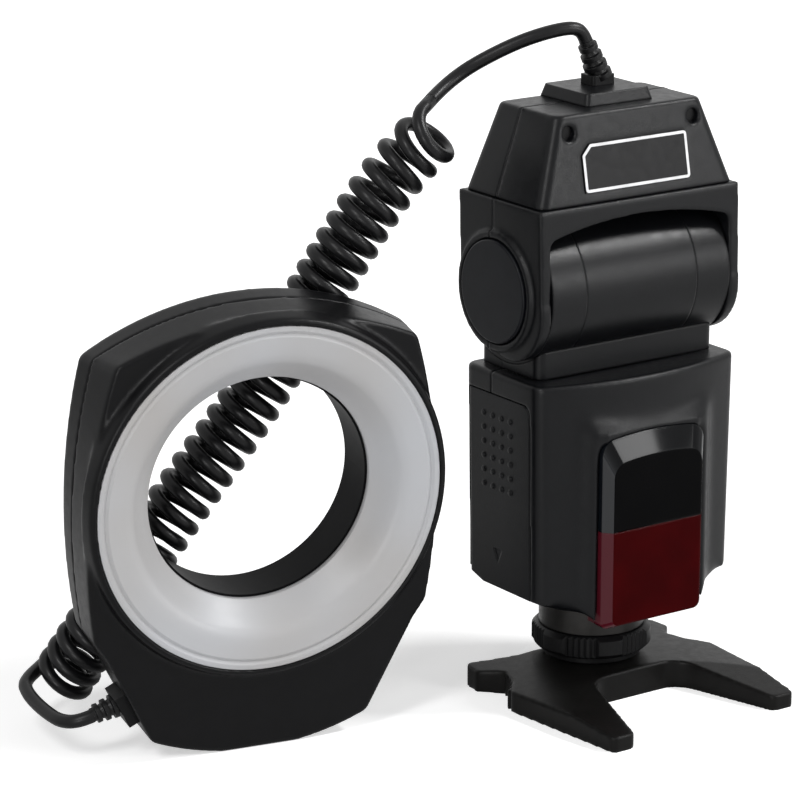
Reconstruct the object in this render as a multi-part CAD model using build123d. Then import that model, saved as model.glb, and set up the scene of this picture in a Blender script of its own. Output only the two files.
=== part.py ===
"""Macro ring flash: a power unit on its mini stand, a curly cord and a ring light head.

Millimetres, +Z up. The origin is on the floor under the middle of the unit's foot,
and the unit's front looks along -Y. The ring head stands on the floor at the unit's left.
"""
from build123d import *
import math
import os

os.makedirs("parts", exist_ok=True)

# Clearances and overruns
overrun = 2.0
slip_gap = 0.06
part_gap = 0.3
seat_gap = 0.15
groove = 0.4

# Stand
stand_half_width = 38.7
stand_front = 56.0
stand_back = 17.0
stand_height = 9.0
stand_edge_height = 6.4
stand_tip_height = 4.6
stand_slope_start = 20.0
stand_back_slope_start = 8.0
stand_back_height = 6.6
stand_corner = 2.0
stand_gap_corner = 8.0
stand_slot_floor = 5.2
stand_front_shares = [(0.43, 0.386), (0.682, 0.996), (0.889, 1.0), (1.0, 0.2), (0.87, 0.09)]
stand_back_shares = [(0.8, 0.12), (0.96, 0.5), (0.93, 1.0), (0.75, 0.78), (0.53, 0.6)]
stand_rib_radius = 0.7
stand_rib_shares = [(0.965, 0.155), (0.915, 0.125), (0.87, 0.083), (0.835, 0.035), (0.81, -0.01)]

# Foot, shoe slot and lock ring
foot_width = 18.6
foot_length = 18.0
foot_thickness = 2.0
foot_neck_width = 12.4
foot_corner = 1.0
shoe_lip = 1.6
contact_radius = 1.2
contact_height = 1.0
pad_radius = 1.4
pad_height = 0.6
pad_spread = 12.0
tripod_thread_radius = 2.6
insert_radius = 4.6
insert_length = 4.4
ring_floor = 9.5
lock_ring_height = 9.2
lock_neck_radius = 15.2
lock_neck_height = 2.0
lock_lobes = 6
lock_lobe_share = 0.42
lock_ring_radius = 18.3
lock_ring_bevel = 1.4
lock_thread_radius = 13.0
knurl_radius = 0.55
knurl_count = 60
foot_collar_radius = 16.2
foot_collar_top = 36.2

# Power unit body
body_top = 103.0
body_low = 29.0
body_half_width = 37.2
body_side_draft = 1.2
body_low_half_width = body_half_width - body_side_draft
body_front = 20.8
body_bulge = 6.9
body_back = 16.5
body_corner = 4.2
body_wall = 2.2
body_edge_round = 1.1
body_split = 2.2
belly_front = 30.0
belly_knee_back = 1.0
belly_knee = 33.6
belly_back = 39.0
belly_centre = 30.0
belly_bend = 26.0
belly_bend_height = 32.0
belly_inset = 0.7
belly_side = body_half_width - belly_inset
swell_inset = 11.7
swell_half_width = body_half_width - swell_inset
swell_root = 24.0
swell_root_low = 33.0
swell_root_top = 93.5
swell_reach = 28.9
swell_face_low = 28.0
swell_margin = 1.6

# Window on the body's front
window_half_width = 16.6
window_bevel = 2.4
window_low = 28.4
window_root_low = 27.2
window_flat_top = 80.0
window_top = 86.6
window_crown = 1.6
window_face = 31.6
window_root = 25.4
window_split = 57.7
window_corner = 2.4
window_shoulder_round = 5.0
lens_lip_back = 19.5

# Battery compartment
door_front = 16.5
door_back = 13.1
door_top = 96.0
door_corner = 3.0
door_thickness = 2.6
door_inner = body_half_width - door_thickness
door_bump_radius = 0.8
door_bump_height = 0.4
door_bump_rows = 6
door_bump_pitch = 4.4
door_bump_top = 89.5
door_bump_back = 6.1
door_bump_columns = 4
arrow_size = 4.2
arrow_low = 44.0
arrow_depth = 0.35
door_pin_radius = 0.6
door_knuckle_radius = 1.3
door_travel = 4.0
door_pin_overhang = 5.0
cell_radius = 7.2
cell_length = 50.5
cell_pitch = 14.6
cell_count = 4
cell_first = 44.9
cell_middle = 4.0
cell_end = 18.1
cell_nub_radius = 2.6
cell_nub = 1.0
holder_wall = 1.0
contact_plate = 0.5
door_plate_width = 10.0

# Electronics in the body
board_thickness = 1.2
board_half_width = 16.0
board_low = 48.0
board_high = 94.0
capacitor_radius = 8.4
capacitor_length = 45.0
capacitor_x = 12.0
capacitor_low = 44.0
coil_box_width = 10.0
coil_box_depth = 12.0
coil_box_height = 13.0
coil_box_low = 62.0
flash_board_front = 8.0
flash_board_low = 50.0
flash_board_high = 90.0

# Rear controls
panel_half_width = 21.0
panel_low = 50.0
panel_high = 93.0
panel_thickness = 1.2
panel_proud = 0.3
panel_corner = 3.0
button_radius = 3.2
button_gap = 0.12
button_length = 2.8
button_proud = 1.4
button_travel = 0.8
button_round = 0.6
mode_place = (-9.0, 73.0)
test_place = (9.0, 73.0)
minus_place = (-9.0, 62.0)
plus_place = (9.0, 62.0)
switch_place = (-2.5, 54.6)
switch_length = 7.0
switch_height = 3.4
switch_travel = 5.0
lamp_radius = 1.3
lamp_count = 7
lamp_pitch = 5.0
lamp_height = 86.0
body_screw_radius = 0.9
body_screw_head_radius = 1.8
body_screw_head = 1.0
body_screw_length = 18.0
body_boss_radius = 2.0
body_screw_inset = 4.6
body_screw_top_inset = 4.8
body_screw_door_inset = 7.2
body_screw_low = 44.5
body_screw_drop = 3.8
body_screw_places = [
    (body_half_width - body_screw_inset, body_screw_low),
    (body_half_width - body_screw_top_inset, body_top - body_screw_drop),
    (body_screw_door_inset - body_half_width, body_top - body_screw_drop),
]

# Neck with its drum
swivel_radius = 12.0
swivel_bore = 8.5
retainer_radius = 13.8
retainer_thickness = 1.6
neck_inset = 4.2
neck_half_width = body_half_width - neck_inset
neck_front = 15.6
neck_back = 13.6
neck_gap = 0.3
neck_floor = 2.2
neck_drop = 15.0
neck_corner = 3.0
drum_radius = 22.5
neck_low = body_top + neck_gap
pivot_height = neck_low + neck_floor + drum_radius
neck_high = pivot_height - neck_drop
drum_wall = 2.2
drum_half_width = neck_half_width
drum_end_width = 12.5
drum_seam = drum_half_width - drum_end_width
shaft_radius = 4.0

# Head
head_inset = 0.2
head_half_width = body_half_width - head_inset
shaft_inset = 0.4
shaft_end = head_half_width - shaft_inset
head_front = 21.0
head_front_belly = 22.0
head_back = 19.5
head_rise = 27.3
head_top = pivot_height + head_rise
head_corner = 3.0
ear_front_reach = 21.6
ear_drop = 18.9
ear_back_reach = 18.4
ear_front_shares = (0.83, 0.78)
ear_back_shares = (0.62, 0.8)
arch_side_rise = 18.0
arch_rise = 22.4
arch_side = pivot_height + arch_side_rise
arch_middle = pivot_height + arch_rise
arch_corner = 3.0
boss_radius = 18.0
boss_proud = 1.3
cap_radius = 15.5
cap_proud = 0.5
hood_ledge = 1.0
hood_height = 26.0
hood_top = head_top + hood_height
hood_side_draft = 10.0
hood_top_half_width = head_half_width - hood_side_draft
hood_top_front = 14.9
hood_top_back = 14.5
hood_wall = 2.2
hood_round = 1.5
label_inset = 7.5
label_half_width = hood_top_half_width - label_inset
label_rise = 3.2
label_height = 14.0
label_low = head_top + label_rise
label_high = label_low + label_height
label_thickness = 0.6
label_chamfer = 3.0
hood_hole_radius = 2.2
hood_hole_inset = 4.0
hood_hole_x = hood_top_half_width - hood_hole_inset
hood_hole_drop = 5.3
hood_hole_height = hood_top - hood_hole_drop
hood_hole_depth = 3.2
hood_boss_wall = 1.2
hood_boss_length = 7.0
hood_screw_radius = 1.3
hood_screw_length = 9.0
head_board_half_width = 15.0
head_board_half_depth = 8.0

# Cable outlet on the head
saddle_x = 1.0
saddle_half_width = 12.5
saddle_front = 9.1
saddle_height = 3.6
saddle_draft = 1.0
gland_width = 8.3
gland_depth = 6.7
gland_x = 2.4
gland_y = 4.0
gland_height = 3.0
relief_root_rise = 6.6
relief_tip_rise = 16.9
relief_root = (2.6, 4.0, hood_top + relief_root_rise)
relief_tip = (-2.2, 4.0, hood_top + relief_tip_rise)
relief_root_radius = 4.4
relief_tip_radius = 2.9
relief_core_share = 0.72
relief_ribs = 5
relief_rib_share = 0.55

# Cord
cord_radius = 2.05
curl_radius = 7.5
curl_count = 35
curl_start_turn = 0.5
arcs_per_curl = 4
curl_pitch_shares = [1.5, 1.2, 1.02, 0.96, 0.96, 1.0, 1.02, 1.04, 1.04, 1.0, 0.96, 0.94, 0.94]
view_away = (0.5473, 0.7903, -0.2755)
lead_route = [
    (-5.7, 4.1, 202.2), (-9.6, 4.5, 202.5), (-16.0, 6.1, 201.5), (-22.5, 9.6, 199.1),
    (-29.5, 14.0, 195.2), (-36.5, 17.4, 191.0),
]
lead_first_run = 2.5
lead_last_run = 7.0
coil_route = [
    (-51.2, 9.0, 176.9), (-53.9, 15.5, 171.5), (-64.8, 19.6, 158.6), (-79.8, 24.3, 134.8), (-102.7, 32.2, 96.3),
    (-123.4, 38.5, 69.2), (-141.1, 45.5, 41.5), (-150.4, 52.0, 23.6), (-153.8, 59.0, 12.5),
]
tail_route = [
    (-167.9, 53.6, 13.8), (-168.7, 46.5, 12.6), (-169.0, 38.8, 11.9), (-168.9, 31.8, 11.8),
]
tail_first_run = 5.0
tail_last_run = 4.6

# Ring head, measured from the middle of its front rim: across, behind the rim, up
ring_centre = (-118.0, -3.2, 78.7)
ring_yaw = -11.0
ring_lean = 5.0
lens_bore_radius = 33.5
rim_radius = 52.4
bezel_lip_radius = 54.6
bezel_root_radius = 55.8
bezel_lip_depth = 0.8
bezel_root_depth = 6.5
bezel_wall = 1.6
housing_front = 4.2
housing_seam = 17.5
housing_back = 26.5
housing_wall = 2.0
crown_front = 53.8
crown_back = 56.0
shoulder_front = (45.6, 43.9)
shoulder_back = (50.0, 41.0)
side_middle = -5.0
side_front = 53.8
side_back = 54.4
hip_front = (51.6, 39.5)
hip_back = (50.4, 40.5)
waist_front = (47.4, 45.6)
waist_back = (46.4, 47.0)
foot_front = (33.8, 73.0)
foot_back = (32.5, 74.5)
sole_front = 80.2
sole_back = 82.6
housing_corner = 3.0
diffuser_depth = 9.75
diffuser_wall = 1.6
diffuser_shares = [(1.0, 0.03), (0.972, 0.03), (0.955, 0.1), (0.935, 0.04), (0.86, 0.12), (0.775, 0.36), (0.7, 0.72), (0.652, 1.0)]
bore_wall = 1.4
bore_flange_radius = 36.2
bore_flange = 1.2
tube_radius = 2.2
tube_depth = 12.5
tube_gap_angle = 12.0
reflector_clearance = 1.6
reflector_inner = lens_bore_radius + bore_wall + reflector_clearance
reflector_outer = 50.0
tube_circle_radius = (reflector_inner + reflector_outer) / 2
reflector_depth = 16.4
reflector_wall = 0.8
ring_screw_places = [(-41.5, 38.0), (41.5, 38.0), (-26.0, -58.0), (26.0, -58.0)]
ring_screw_radius = 1.2
ring_screw_head_radius = 2.3
ring_screw_head = 1.0
ring_screw_length = 11.0
ring_gland_height = -63.5
ring_gland_depth = 14.0
ring_gland_length = 10.5
ring_gland_width = 9.0
ring_gland_proud = 3.0
ring_gland_sunk = 1.8
ring_relief_start = (-40.9, 14.0, -63.5)
ring_relief_lead = (-0.94, 0.0, -0.28)
ring_relief_length = 8.5
ring_relief_root_radius = 4.3


# General helpers

def block(x0, x1, y0, y1, z0, z1):
    return Pos((x0 + x1) / 2, (y0 + y1) / 2, (z0 + z1) / 2) * Box(x1 - x0, y1 - y0, z1 - z0)


def rod_z(radius, z0, z1, x=0, y=0):
    return Pos(x, y, (z0 + z1) / 2) * Cylinder(radius, z1 - z0)


def rod_y(radius, y0, y1, x=0, z=0):
    return Pos(x, (y0 + y1) / 2, z) * Rot(90, 0, 0) * Cylinder(radius, y1 - y0)


def rod_x(radius, x0, x1, y=0, z=0):
    return Pos((x0 + x1) / 2, y, z) * Rot(0, 90, 0) * Cylinder(radius, x1 - x0)


def group(solids):
    return Compound(children=[s.solid() for s in solids])


def save(name, shape):
    export_step(shape, f"parts/{name}.step")


def prism_z(points, z0, z1):
    face = make_face(Polyline(*[(x, y, z0) for x, y in points], close=True))
    return extrude(face, z1 - z0, dir=(0, 0, 1))


def prism_x(points, x0, x1):
    face = make_face(Polyline(*[(x0, y, z) for y, z in points], close=True))
    return extrude(face, x1 - x0, dir=(1, 0, 0))


def prism_y(points, y0, y1):
    face = make_face(Polyline(*[(x, y0, z) for x, z in points], close=True))
    return extrude(face, y1 - y0, dir=(0, 1, 0))


def rounded_rect(half_width, y0, y1, corner, z):
    plane = Plane(origin=(0, (y0 + y1) / 2, z))
    return plane * RectangleRounded(2 * half_width, y1 - y0, corner)


def rounded_rect_y(x0, x1, z0, z1, corner, y):
    plane = Plane(origin=((x0 + x1) / 2, y, (z0 + z1) / 2), x_dir=(1, 0, 0), z_dir=(0, -1, 0))
    return plane * RectangleRounded(x1 - x0, z1 - z0, corner)


# Stand

def stand_outline():
    front = [(x * stand_half_width, -y * stand_front) for x, y in stand_front_shares]
    back = [(x * stand_half_width, y * stand_back) for x, y in stand_back_shares]
    right = front + back
    return right + [(-x, y) for x, y in reversed(right)]


def stand_envelope():
    fall = (stand_height - stand_tip_height) / (stand_front - stand_slope_start)
    rise = (stand_height - stand_back_height) / (stand_back - stand_back_slope_start)
    far = stand_front + overrun
    end = stand_back + overrun
    side = [
        (-far, 0), (-far, stand_tip_height - fall * overrun), (-stand_slope_start, stand_height),
        (stand_back_slope_start, stand_height), (end, stand_back_height - rise * overrun), (end, 0),
    ]
    sag = stand_height - stand_edge_height
    crown = (stand_half_width ** 2 + sag ** 2) / (2 * sag)
    reach = stand_half_width + overrun
    return prism_x(side, -reach, reach) & rod_y(crown, -far, end, 0, stand_height - crown)


def slot_cut():
    half = foot_width / 2 + seat_gap
    front = foot_length / 2 + seat_gap
    end = stand_back + overrun
    lip = stand_height - shoe_lip
    neck = foot_neck_width / 2 + seat_gap
    pocket = block(-half, half, -front, end, stand_slot_floor, lip)
    return pocket + block(-neck, neck, -front, end, lip, stand_height + overrun)


def make_stand():
    face = make_face(Polyline(*[(x, y, 0) for x, y in stand_outline()], close=True))
    gap_depth = stand_front_shares[0][1] * stand_front
    face = fillet([v for v in face.vertices() if abs(v.Y + gap_depth) > slip_gap], stand_corner)
    face = fillet([v for v in face.vertices() if abs(v.Y + gap_depth) < slip_gap], stand_gap_corner)
    shape = extrude(face, stand_height, dir=(0, 0, 1)) & stand_envelope()
    rib_top = stand_edge_height - part_gap
    for x, y in stand_rib_shares:
        for side in (-1, 1):
            shape += rod_z(stand_rib_radius, 0, rib_top, side * x * stand_half_width, -y * stand_front)
    shape -= slot_cut()
    return shape - rod_z(insert_radius, -overrun, insert_length)


def make_insert():
    return rod_z(insert_radius, 0, insert_length) - rod_z(tripod_thread_radius, -overrun, insert_length + overrun)


# Foot and lock ring

def foot_low():
    return stand_slot_floor + slip_gap


def make_foot_plate():
    low = foot_low()
    top = low + foot_thickness
    plate = Pos(0, 0, low) * extrude(RectangleRounded(foot_width, foot_length, foot_corner), foot_thickness)
    half = foot_neck_width / 2
    shape = plate + block(-half, half, -foot_length / 2, foot_length / 2, top, ring_floor - part_gap)
    shape -= rod_z(contact_radius, low - overrun, low + contact_height)
    for x, y in pad_spots():
        shape -= rod_z(pad_radius, low - overrun, low + pad_height, x, y)
    return shape


def pad_spots():
    half = pad_spread / 2
    return [(x * half, y * half) for x in (-1, 1) for y in (-1, 1)]


def make_foot_block():
    turn = ring_floor + lock_ring_height + slip_gap * 3
    return rod_z(lock_thread_radius, ring_floor - part_gap, turn) + rod_z(foot_collar_radius, turn, foot_collar_top)


def lock_cut(index, count):
    place = index * lock_lobes / count % 1
    return 0 if place < lock_lobe_share else 1 + index % 2


def make_lock_ring():
    count = 2 * knurl_count
    tooth = [lock_ring_radius - knurl_radius * lock_cut(i, count) for i in range(count)]
    turns = [2 * math.pi * i / count for i in range(count)]
    outline = [(r * math.cos(a), r * math.sin(a)) for r, a in zip(tooth, turns)]
    top = ring_floor + lock_ring_height
    shape = prism_z(outline, ring_floor, top)
    rim = lock_ring_radius + overrun
    flank = rim - lock_ring_bevel - overrun
    low = ring_floor + lock_neck_height
    profile = [(0, ring_floor), (lock_neck_radius, ring_floor), (lock_neck_radius, low), (flank, low)]
    profile += [(rim, low + lock_ring_bevel + overrun)]
    profile += [(rim, top - lock_ring_bevel - overrun), (flank, top), (0, top)]
    face = make_face(Polyline(*[(r, 0, z) for r, z in profile], close=True))
    shape = shape & revolve(face, Axis.Z)
    return shape - rod_z(lock_thread_radius + slip_gap, ring_floor - overrun, top + overrun)


# Body of the power unit

def body_width(z):
    share = (z - body_low) / (body_top - body_low)
    return body_low_half_width + (body_half_width - body_low_half_width) * share


def body_plan(z, inset):
    w = body_width(z) - inset
    front = body_front - inset
    back = body_back - inset
    sides = Polyline((w, -front, z), (w, back, z), (-w, back, z), (-w, -front, z))
    bow = ThreePointArc((-w, -front, z), (0, -front - body_bulge, z), (w, -front, z))
    return fillet(make_face(sides + bow).vertices(), body_corner - inset)


def belly(inset):
    far = body_front + body_bulge + overrun
    end = body_back + overrun
    top = body_top - inset
    slope = (belly_back - belly_knee) / (body_back + belly_knee_back)
    side = [
        (-far, belly_front + inset), (-belly_knee_back, belly_knee + inset),
        (end, belly_back + inset + slope * overrun), (end, top), (-far, top),
    ]
    reach = body_half_width + overrun
    rise = (belly_side - belly_bend_height) / (body_half_width - belly_bend)
    right = [
        (0, belly_centre + inset), (belly_bend, belly_bend_height + inset),
        (reach, belly_side + inset + rise * overrun), (reach, top),
    ]
    front = right + [(-x, z) for x, z in reversed(right) if x > 0]
    return prism_x(side, -reach, reach) & prism_y(front, -far, end)


def body_block(inset):
    return loft([body_plan(body_low, inset), body_plan(body_top, inset)], ruled=True) & belly(inset)


def upright_rect(half_width, z0, z1, y):
    return make_face(Polyline((half_width, y, z0), (half_width, y, z1), (-half_width, y, z1), (-half_width, y, z0), close=True))


def swell():
    half = window_half_width + window_bevel + swell_margin
    root = upright_rect(swell_half_width, swell_root_low, swell_root_top, -swell_root)
    face = upright_rect(half, swell_face_low, window_top + swell_margin, -swell_reach)
    return loft([root, face], ruled=True)


def window_outline(half_width, low, top, y):
    shoulder = top - window_crown
    sides = Polyline((-half_width, y, shoulder), (-half_width, y, low), (half_width, y, low), (half_width, y, shoulder))
    arch = ThreePointArc((half_width, y, shoulder), (0, y, top), (-half_width, y, shoulder))
    face = make_face(sides + arch)
    face = fillet(face.vertices().sort_by(Axis.Z)[:2], window_corner)
    return fillet(face.vertices().sort_by(Axis.Z)[-2:], window_shoulder_round)


def window_block():
    wide = window_half_width + window_bevel
    rim = window_outline(wide, window_root_low, window_top, -swell_reach)
    face = window_outline(window_half_width, window_low, window_flat_top, -window_face)
    root = extrude(rim, swell_reach - window_root, dir=(0, 1, 0))
    lip = block(-wide + window_corner, wide - window_corner, -window_root, -lens_lip_back, window_root_low, belly_centre)
    return root + loft([rim, face], ruled=True) + (lip - body_block(0))


def window_hole():
    wide = window_half_width + window_bevel
    rim = window_outline(wide, window_root_low, window_top, -window_root)
    return extrude(rim, window_face, dir=(0, -1, 0))


def make_windows():
    window = window_block()
    reach = body_half_width
    upper = block(-reach, reach, -window_face - overrun, 0, window_split, body_top)
    lower = block(-reach, reach, -window_face - overrun, 0, 0, window_split)
    return window & upper, window & lower


# Battery door

def door_pin_place():
    return -body_low_half_width + door_knuckle_radius - slip_gap, door_back - door_knuckle_radius


def door_slab(grow, inner):
    x0 = -body_half_width - overrun
    front = -door_front - grow
    back = door_back + grow
    low = belly_front - door_travel
    top = door_top + grow
    face = make_face(Polyline((x0, front, low), (x0, front, top), (x0, back, top), (x0, back, low), close=True))
    corner = face.vertices().sort_by(Axis.Z)[-2:].sort_by(Axis.Y)[:1]
    return extrude(fillet(corner, door_corner), -x0 - inner, dir=(1, 0, 0))


def door_sweep():
    pin_x, pin_y = door_pin_place()
    reach = math.hypot(body_half_width + pin_x, door_back - pin_y) + part_gap
    low = belly_front - door_travel
    return rod_z(reach, low, door_top + part_gap, pin_x, pin_y)


def door_barrel(grow, z0, z1):
    pin_x, pin_y = door_pin_place()
    return rod_z(door_knuckle_radius + grow, z0, z1, pin_x, pin_y)


def make_door():
    pin_x, pin_y = door_pin_place()
    raw = door_slab(0, door_inner) + door_barrel(0, belly_front, door_top)
    shape = raw & body_block(0)
    for row in range(door_bump_rows):
        for column in range(door_bump_columns):
            z = door_bump_top - row * door_bump_pitch
            y = door_bump_back - column * door_bump_pitch
            face = -body_width(z)
            shape += rod_x(door_bump_radius, face - door_bump_height, face + door_bump_height, y, z)
    shape -= door_arrow()
    return shape - rod_z(door_pin_radius + slip_gap, 0, body_top, pin_x, pin_y)


def door_arrow():
    y = door_bump_back - (door_bump_columns - 1) * door_bump_pitch / 2
    half = arrow_size / 2
    points = [(y - half, arrow_low + arrow_size), (y + half, arrow_low + arrow_size), (y, arrow_low)]
    return prism_x(points, -body_half_width - overrun, -body_width(arrow_low) + arrow_depth)


def door_pin_low():
    return belly_side + door_travel


def make_door_pin():
    pin_x, pin_y = door_pin_place()
    return rod_z(door_pin_radius, door_pin_low(), door_top + door_pin_overhang, pin_x, pin_y)


def make_door_contacts():
    half = door_plate_width / 2
    shapes = []
    for pair in range(cell_count // 2):
        z0 = cell_height(2 * pair) - half
        z1 = cell_height(2 * pair + 1) + half
        shapes.append(block(-door_inner, -door_inner + contact_plate, cell_middle - half, cell_middle + half, z0, z1))
    return group(shapes)


# Cells, holder and electronics

def cell_height(index):
    return cell_first + index * cell_pitch


def holder_outer():
    return cell_radius + slip_gap + holder_wall


def cell_start():
    return cell_end - cell_length


def make_cells():
    shapes = []
    for index in range(cell_count):
        z = cell_height(index)
        barrel = rod_x(cell_radius, cell_start() + cell_nub, cell_end, cell_middle, z)
        if index % 2:
            barrel = rod_x(cell_radius, cell_start(), cell_end - cell_nub, cell_middle, z)
            barrel += rod_x(cell_nub_radius, cell_end - cell_nub, cell_end, cell_middle, z)
        else:
            barrel += rod_x(cell_nub_radius, cell_start(), cell_start() + cell_nub, cell_middle, z)
        shapes.append(barrel)
    return group(shapes)


def make_holder():
    half = holder_outer()
    x0 = cell_start() + cell_nub
    shape = block(x0, cell_end, cell_middle - half, cell_middle + half, cell_height(0) - half, cell_height(cell_count - 1) + half)
    for index in range(cell_count):
        shape -= rod_x(cell_radius + slip_gap, x0 - overrun, cell_end + overrun, cell_middle, cell_height(index))
    return shape & body_block(body_wall + part_gap)


def contacts_right():
    return cell_end + contact_plate


def make_contacts():
    half = door_plate_width / 2
    shapes = []
    for index in range(cell_count):
        z = cell_height(index)
        shapes.append(block(cell_end, contacts_right(), cell_middle - half, cell_middle + half, z - half, z + half))
    return group(shapes)


def make_flash_board():
    x0 = contacts_right() + part_gap
    x1 = x0 + board_thickness
    half = holder_outer()
    plate = block(x0, x1, cell_middle - flash_board_front, cell_middle + half - part_gap, flash_board_low, flash_board_high)
    y0 = cell_middle - coil_box_depth / 2
    coil = block(x1, x1 + coil_box_width, y0, y0 + coil_box_depth, coil_box_low, coil_box_low + coil_box_height)
    return plate + coil


def make_control_board():
    back = body_back - body_wall - part_gap / 2
    return block(-board_half_width, board_half_width, back - board_thickness, back, board_low, board_high)


def make_capacitor():
    y = cell_middle - holder_outer() - part_gap - capacitor_radius
    return rod_z(capacitor_radius, capacitor_low, capacitor_low + capacitor_length, capacitor_x, y)


# Rear controls

def panel_back():
    return body_back + panel_proud


def button_tool(place, grow):
    return rod_y(button_radius + grow, 0, body_back + overrun, place[0], place[1])


def switch_tool():
    x, z = switch_place
    half = switch_height / 2 + button_gap
    left = x - switch_length / 2 - button_gap
    right = x + switch_length / 2 + switch_travel + button_gap
    return block(left, right, 0, body_back + overrun, z - half, z + half)


def lamp_places():
    first = -(lamp_count - 1) * lamp_pitch / 2
    return [(first + index * lamp_pitch, lamp_height) for index in range(lamp_count)]


def control_holes():
    holes = [button_tool(place, button_gap) for place in (mode_place, test_place, minus_place, plus_place)]
    holes.append(switch_tool())
    return holes


def panel_outline(grow):
    half = panel_half_width + grow
    return rounded_rect_y(-half, half, panel_low - grow, panel_high + grow, panel_corner + grow, panel_back())


def make_panel():
    shape = extrude(panel_outline(0), panel_thickness, dir=(0, -1, 0))
    for hole in control_holes():
        shape -= hole
    for x, z in lamp_places():
        shape -= rod_y(lamp_radius, 0, body_back + overrun, x, z)
    return shape


def make_button(place):
    tip = body_back + button_proud
    button = rod_y(button_radius, tip - button_length, tip, place[0], place[1])
    return fillet(button.edges().sort_by(Axis.Y)[-1:], button_round)


def make_switch():
    x, z = switch_place
    tip = body_back + button_proud
    half = switch_height / 2
    knob = block(x - switch_length / 2, x + switch_length / 2, tip - button_length, tip, z - half, z + half)
    return fillet(knob.edges().filter_by(Axis.X).sort_by(Axis.Y)[-2:], button_round)


def make_lamps():
    tip = panel_back() + slip_gap
    return group([rod_y(lamp_radius, tip - panel_thickness, tip, x, z) for x, z in lamp_places()])


# Body shells

def screw_seat():
    return body_back - body_screw_head - groove


def make_body_screws():
    shapes = []
    for x, z in body_screw_places:
        seat = screw_seat()
        head = rod_y(body_screw_head_radius, seat, seat + body_screw_head, x, z)
        shapes.append(head + rod_y(body_screw_radius, seat - body_screw_length, seat, x, z))
    return group(shapes)


def body_bosses(y0, y1):
    shapes = [rod_y(body_boss_radius, y0, y1, x, z) for x, z in body_screw_places]
    return shapes


def body_cuts():
    pin_x, pin_y = door_pin_place()
    cuts = [door_slab(part_gap, body_low_half_width - body_wall - overrun), door_sweep()]
    cuts.append(rod_z(door_pin_radius + slip_gap, 0, door_top + door_pin_overhang + part_gap, pin_x, pin_y))
    cuts.append(rod_z(foot_collar_radius + slip_gap, 0, foot_collar_top + overrun))
    cuts.append(rod_z(swivel_radius + slip_gap, body_top - body_wall * 2, body_top + overrun))
    return cuts


def make_body_shells():
    outer = body_block(0)
    outer = fillet(top_rim(outer), body_edge_round)
    cavity = body_block(body_wall)
    shell = outer + swell()
    shell -= cavity
    for cut in body_cuts():
        shell -= cut
    far = body_front + body_bulge + overrun * 3
    reach = body_half_width + overrun
    front = shell & block(-reach, reach, -far, body_split, 0, body_top)
    rear = shell & block(-reach, reach, body_split, body_back, 0, body_top)
    front -= window_hole()
    front -= window_block()
    seat = screw_seat()
    tip = seat - body_screw_length
    for boss in body_bosses(tip - body_wall, body_split):
        front += boss & outer
    for boss in body_bosses(body_split, seat + body_screw_head):
        rear += boss & outer
    for x, z in body_screw_places:
        front -= rod_y(body_screw_radius, tip, body_split, x, z)
        rear -= rod_y(body_screw_radius, body_split, body_back + overrun, x, z)
        rear -= rod_y(body_screw_head_radius, seat, body_back + overrun, x, z)
    pocket = extrude(panel_outline(0), panel_thickness, dir=(0, -1, 0))
    rear -= pocket
    for hole in control_holes():
        rear -= hole
    return front, rear


def top_rim(shape):
    return shape.edges().filter_by(lambda e: e.bounding_box().min.Z > body_top - groove)


# Neck and drum

def spigot_low():
    return body_top - body_wall - part_gap - retainer_thickness


def drum(x0, x1, radius):
    return rod_x(radius, x0, x1, 0, pivot_height)


def make_neck():
    plan = rounded_rect(neck_half_width, -neck_front, neck_back, neck_corner, neck_low)
    shape = extrude(plan, neck_high - neck_low, dir=(0, 0, 1))
    shape -= drum(-neck_half_width - overrun, neck_half_width + overrun, drum_radius)
    shape -= rod_z(swivel_radius, 0, pivot_height)
    reach = neck_half_width + overrun
    front = shape & block(-reach, reach, -neck_front, body_split, 0, pivot_height)
    rear = shape & block(-reach, reach, body_split, neck_back, 0, pivot_height)
    return front, rear


def make_spigot():
    top = pivot_height - drum_radius - seat_gap
    return rod_z(swivel_radius, spigot_low(), top) - rod_z(swivel_bore, 0, top + overrun)


def make_retainer():
    low = spigot_low()
    return rod_z(retainer_radius, low, low + retainer_thickness) - rod_z(swivel_radius, 0, body_top)


def make_drum_middle():
    return drum(-drum_seam, drum_seam, drum_radius) - drum(-drum_half_width, drum_half_width, drum_radius - drum_wall)


def make_drum_end(side):
    seam = drum_seam + slip_gap
    shape = drum(seam, drum_half_width, drum_radius)
    shape -= drum(0, drum_half_width - drum_wall, drum_radius - drum_wall)
    shape -= drum(0, drum_half_width + overrun, shaft_radius)
    shape += drum(seam, drum_half_width - drum_wall, shaft_radius + drum_wall) - drum(0, drum_half_width, shaft_radius)
    if side < 0:
        shape = mirror(shape, Plane.YZ)
    return shape


def make_shaft():
    return drum(-shaft_end, shaft_end, shaft_radius)


# Head

def head_profile():
    bottom = pivot_height - ear_drop
    fx, fz = ear_front_shares
    bx, bz = ear_back_shares
    front = ThreePointArc(
        (0, -head_front_belly, pivot_height),
        (0, -ear_front_reach * fx, pivot_height - ear_drop * fz),
        (0, 0, bottom),
    )
    back = ThreePointArc(
        (0, 0, bottom),
        (0, ear_back_reach * bx, pivot_height - ear_drop * bz),
        (0, ear_back_reach, pivot_height),
    )
    cap = Polyline((0, ear_back_reach, pivot_height), (0, head_back, head_top), (0, -head_front, head_top), (0, -head_front_belly, pivot_height))
    return make_face(front + back + cap)


def head_block():
    return Pos(-head_half_width, 0, 0) * extrude(head_profile(), 2 * head_half_width, dir=(1, 0, 0))


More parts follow.
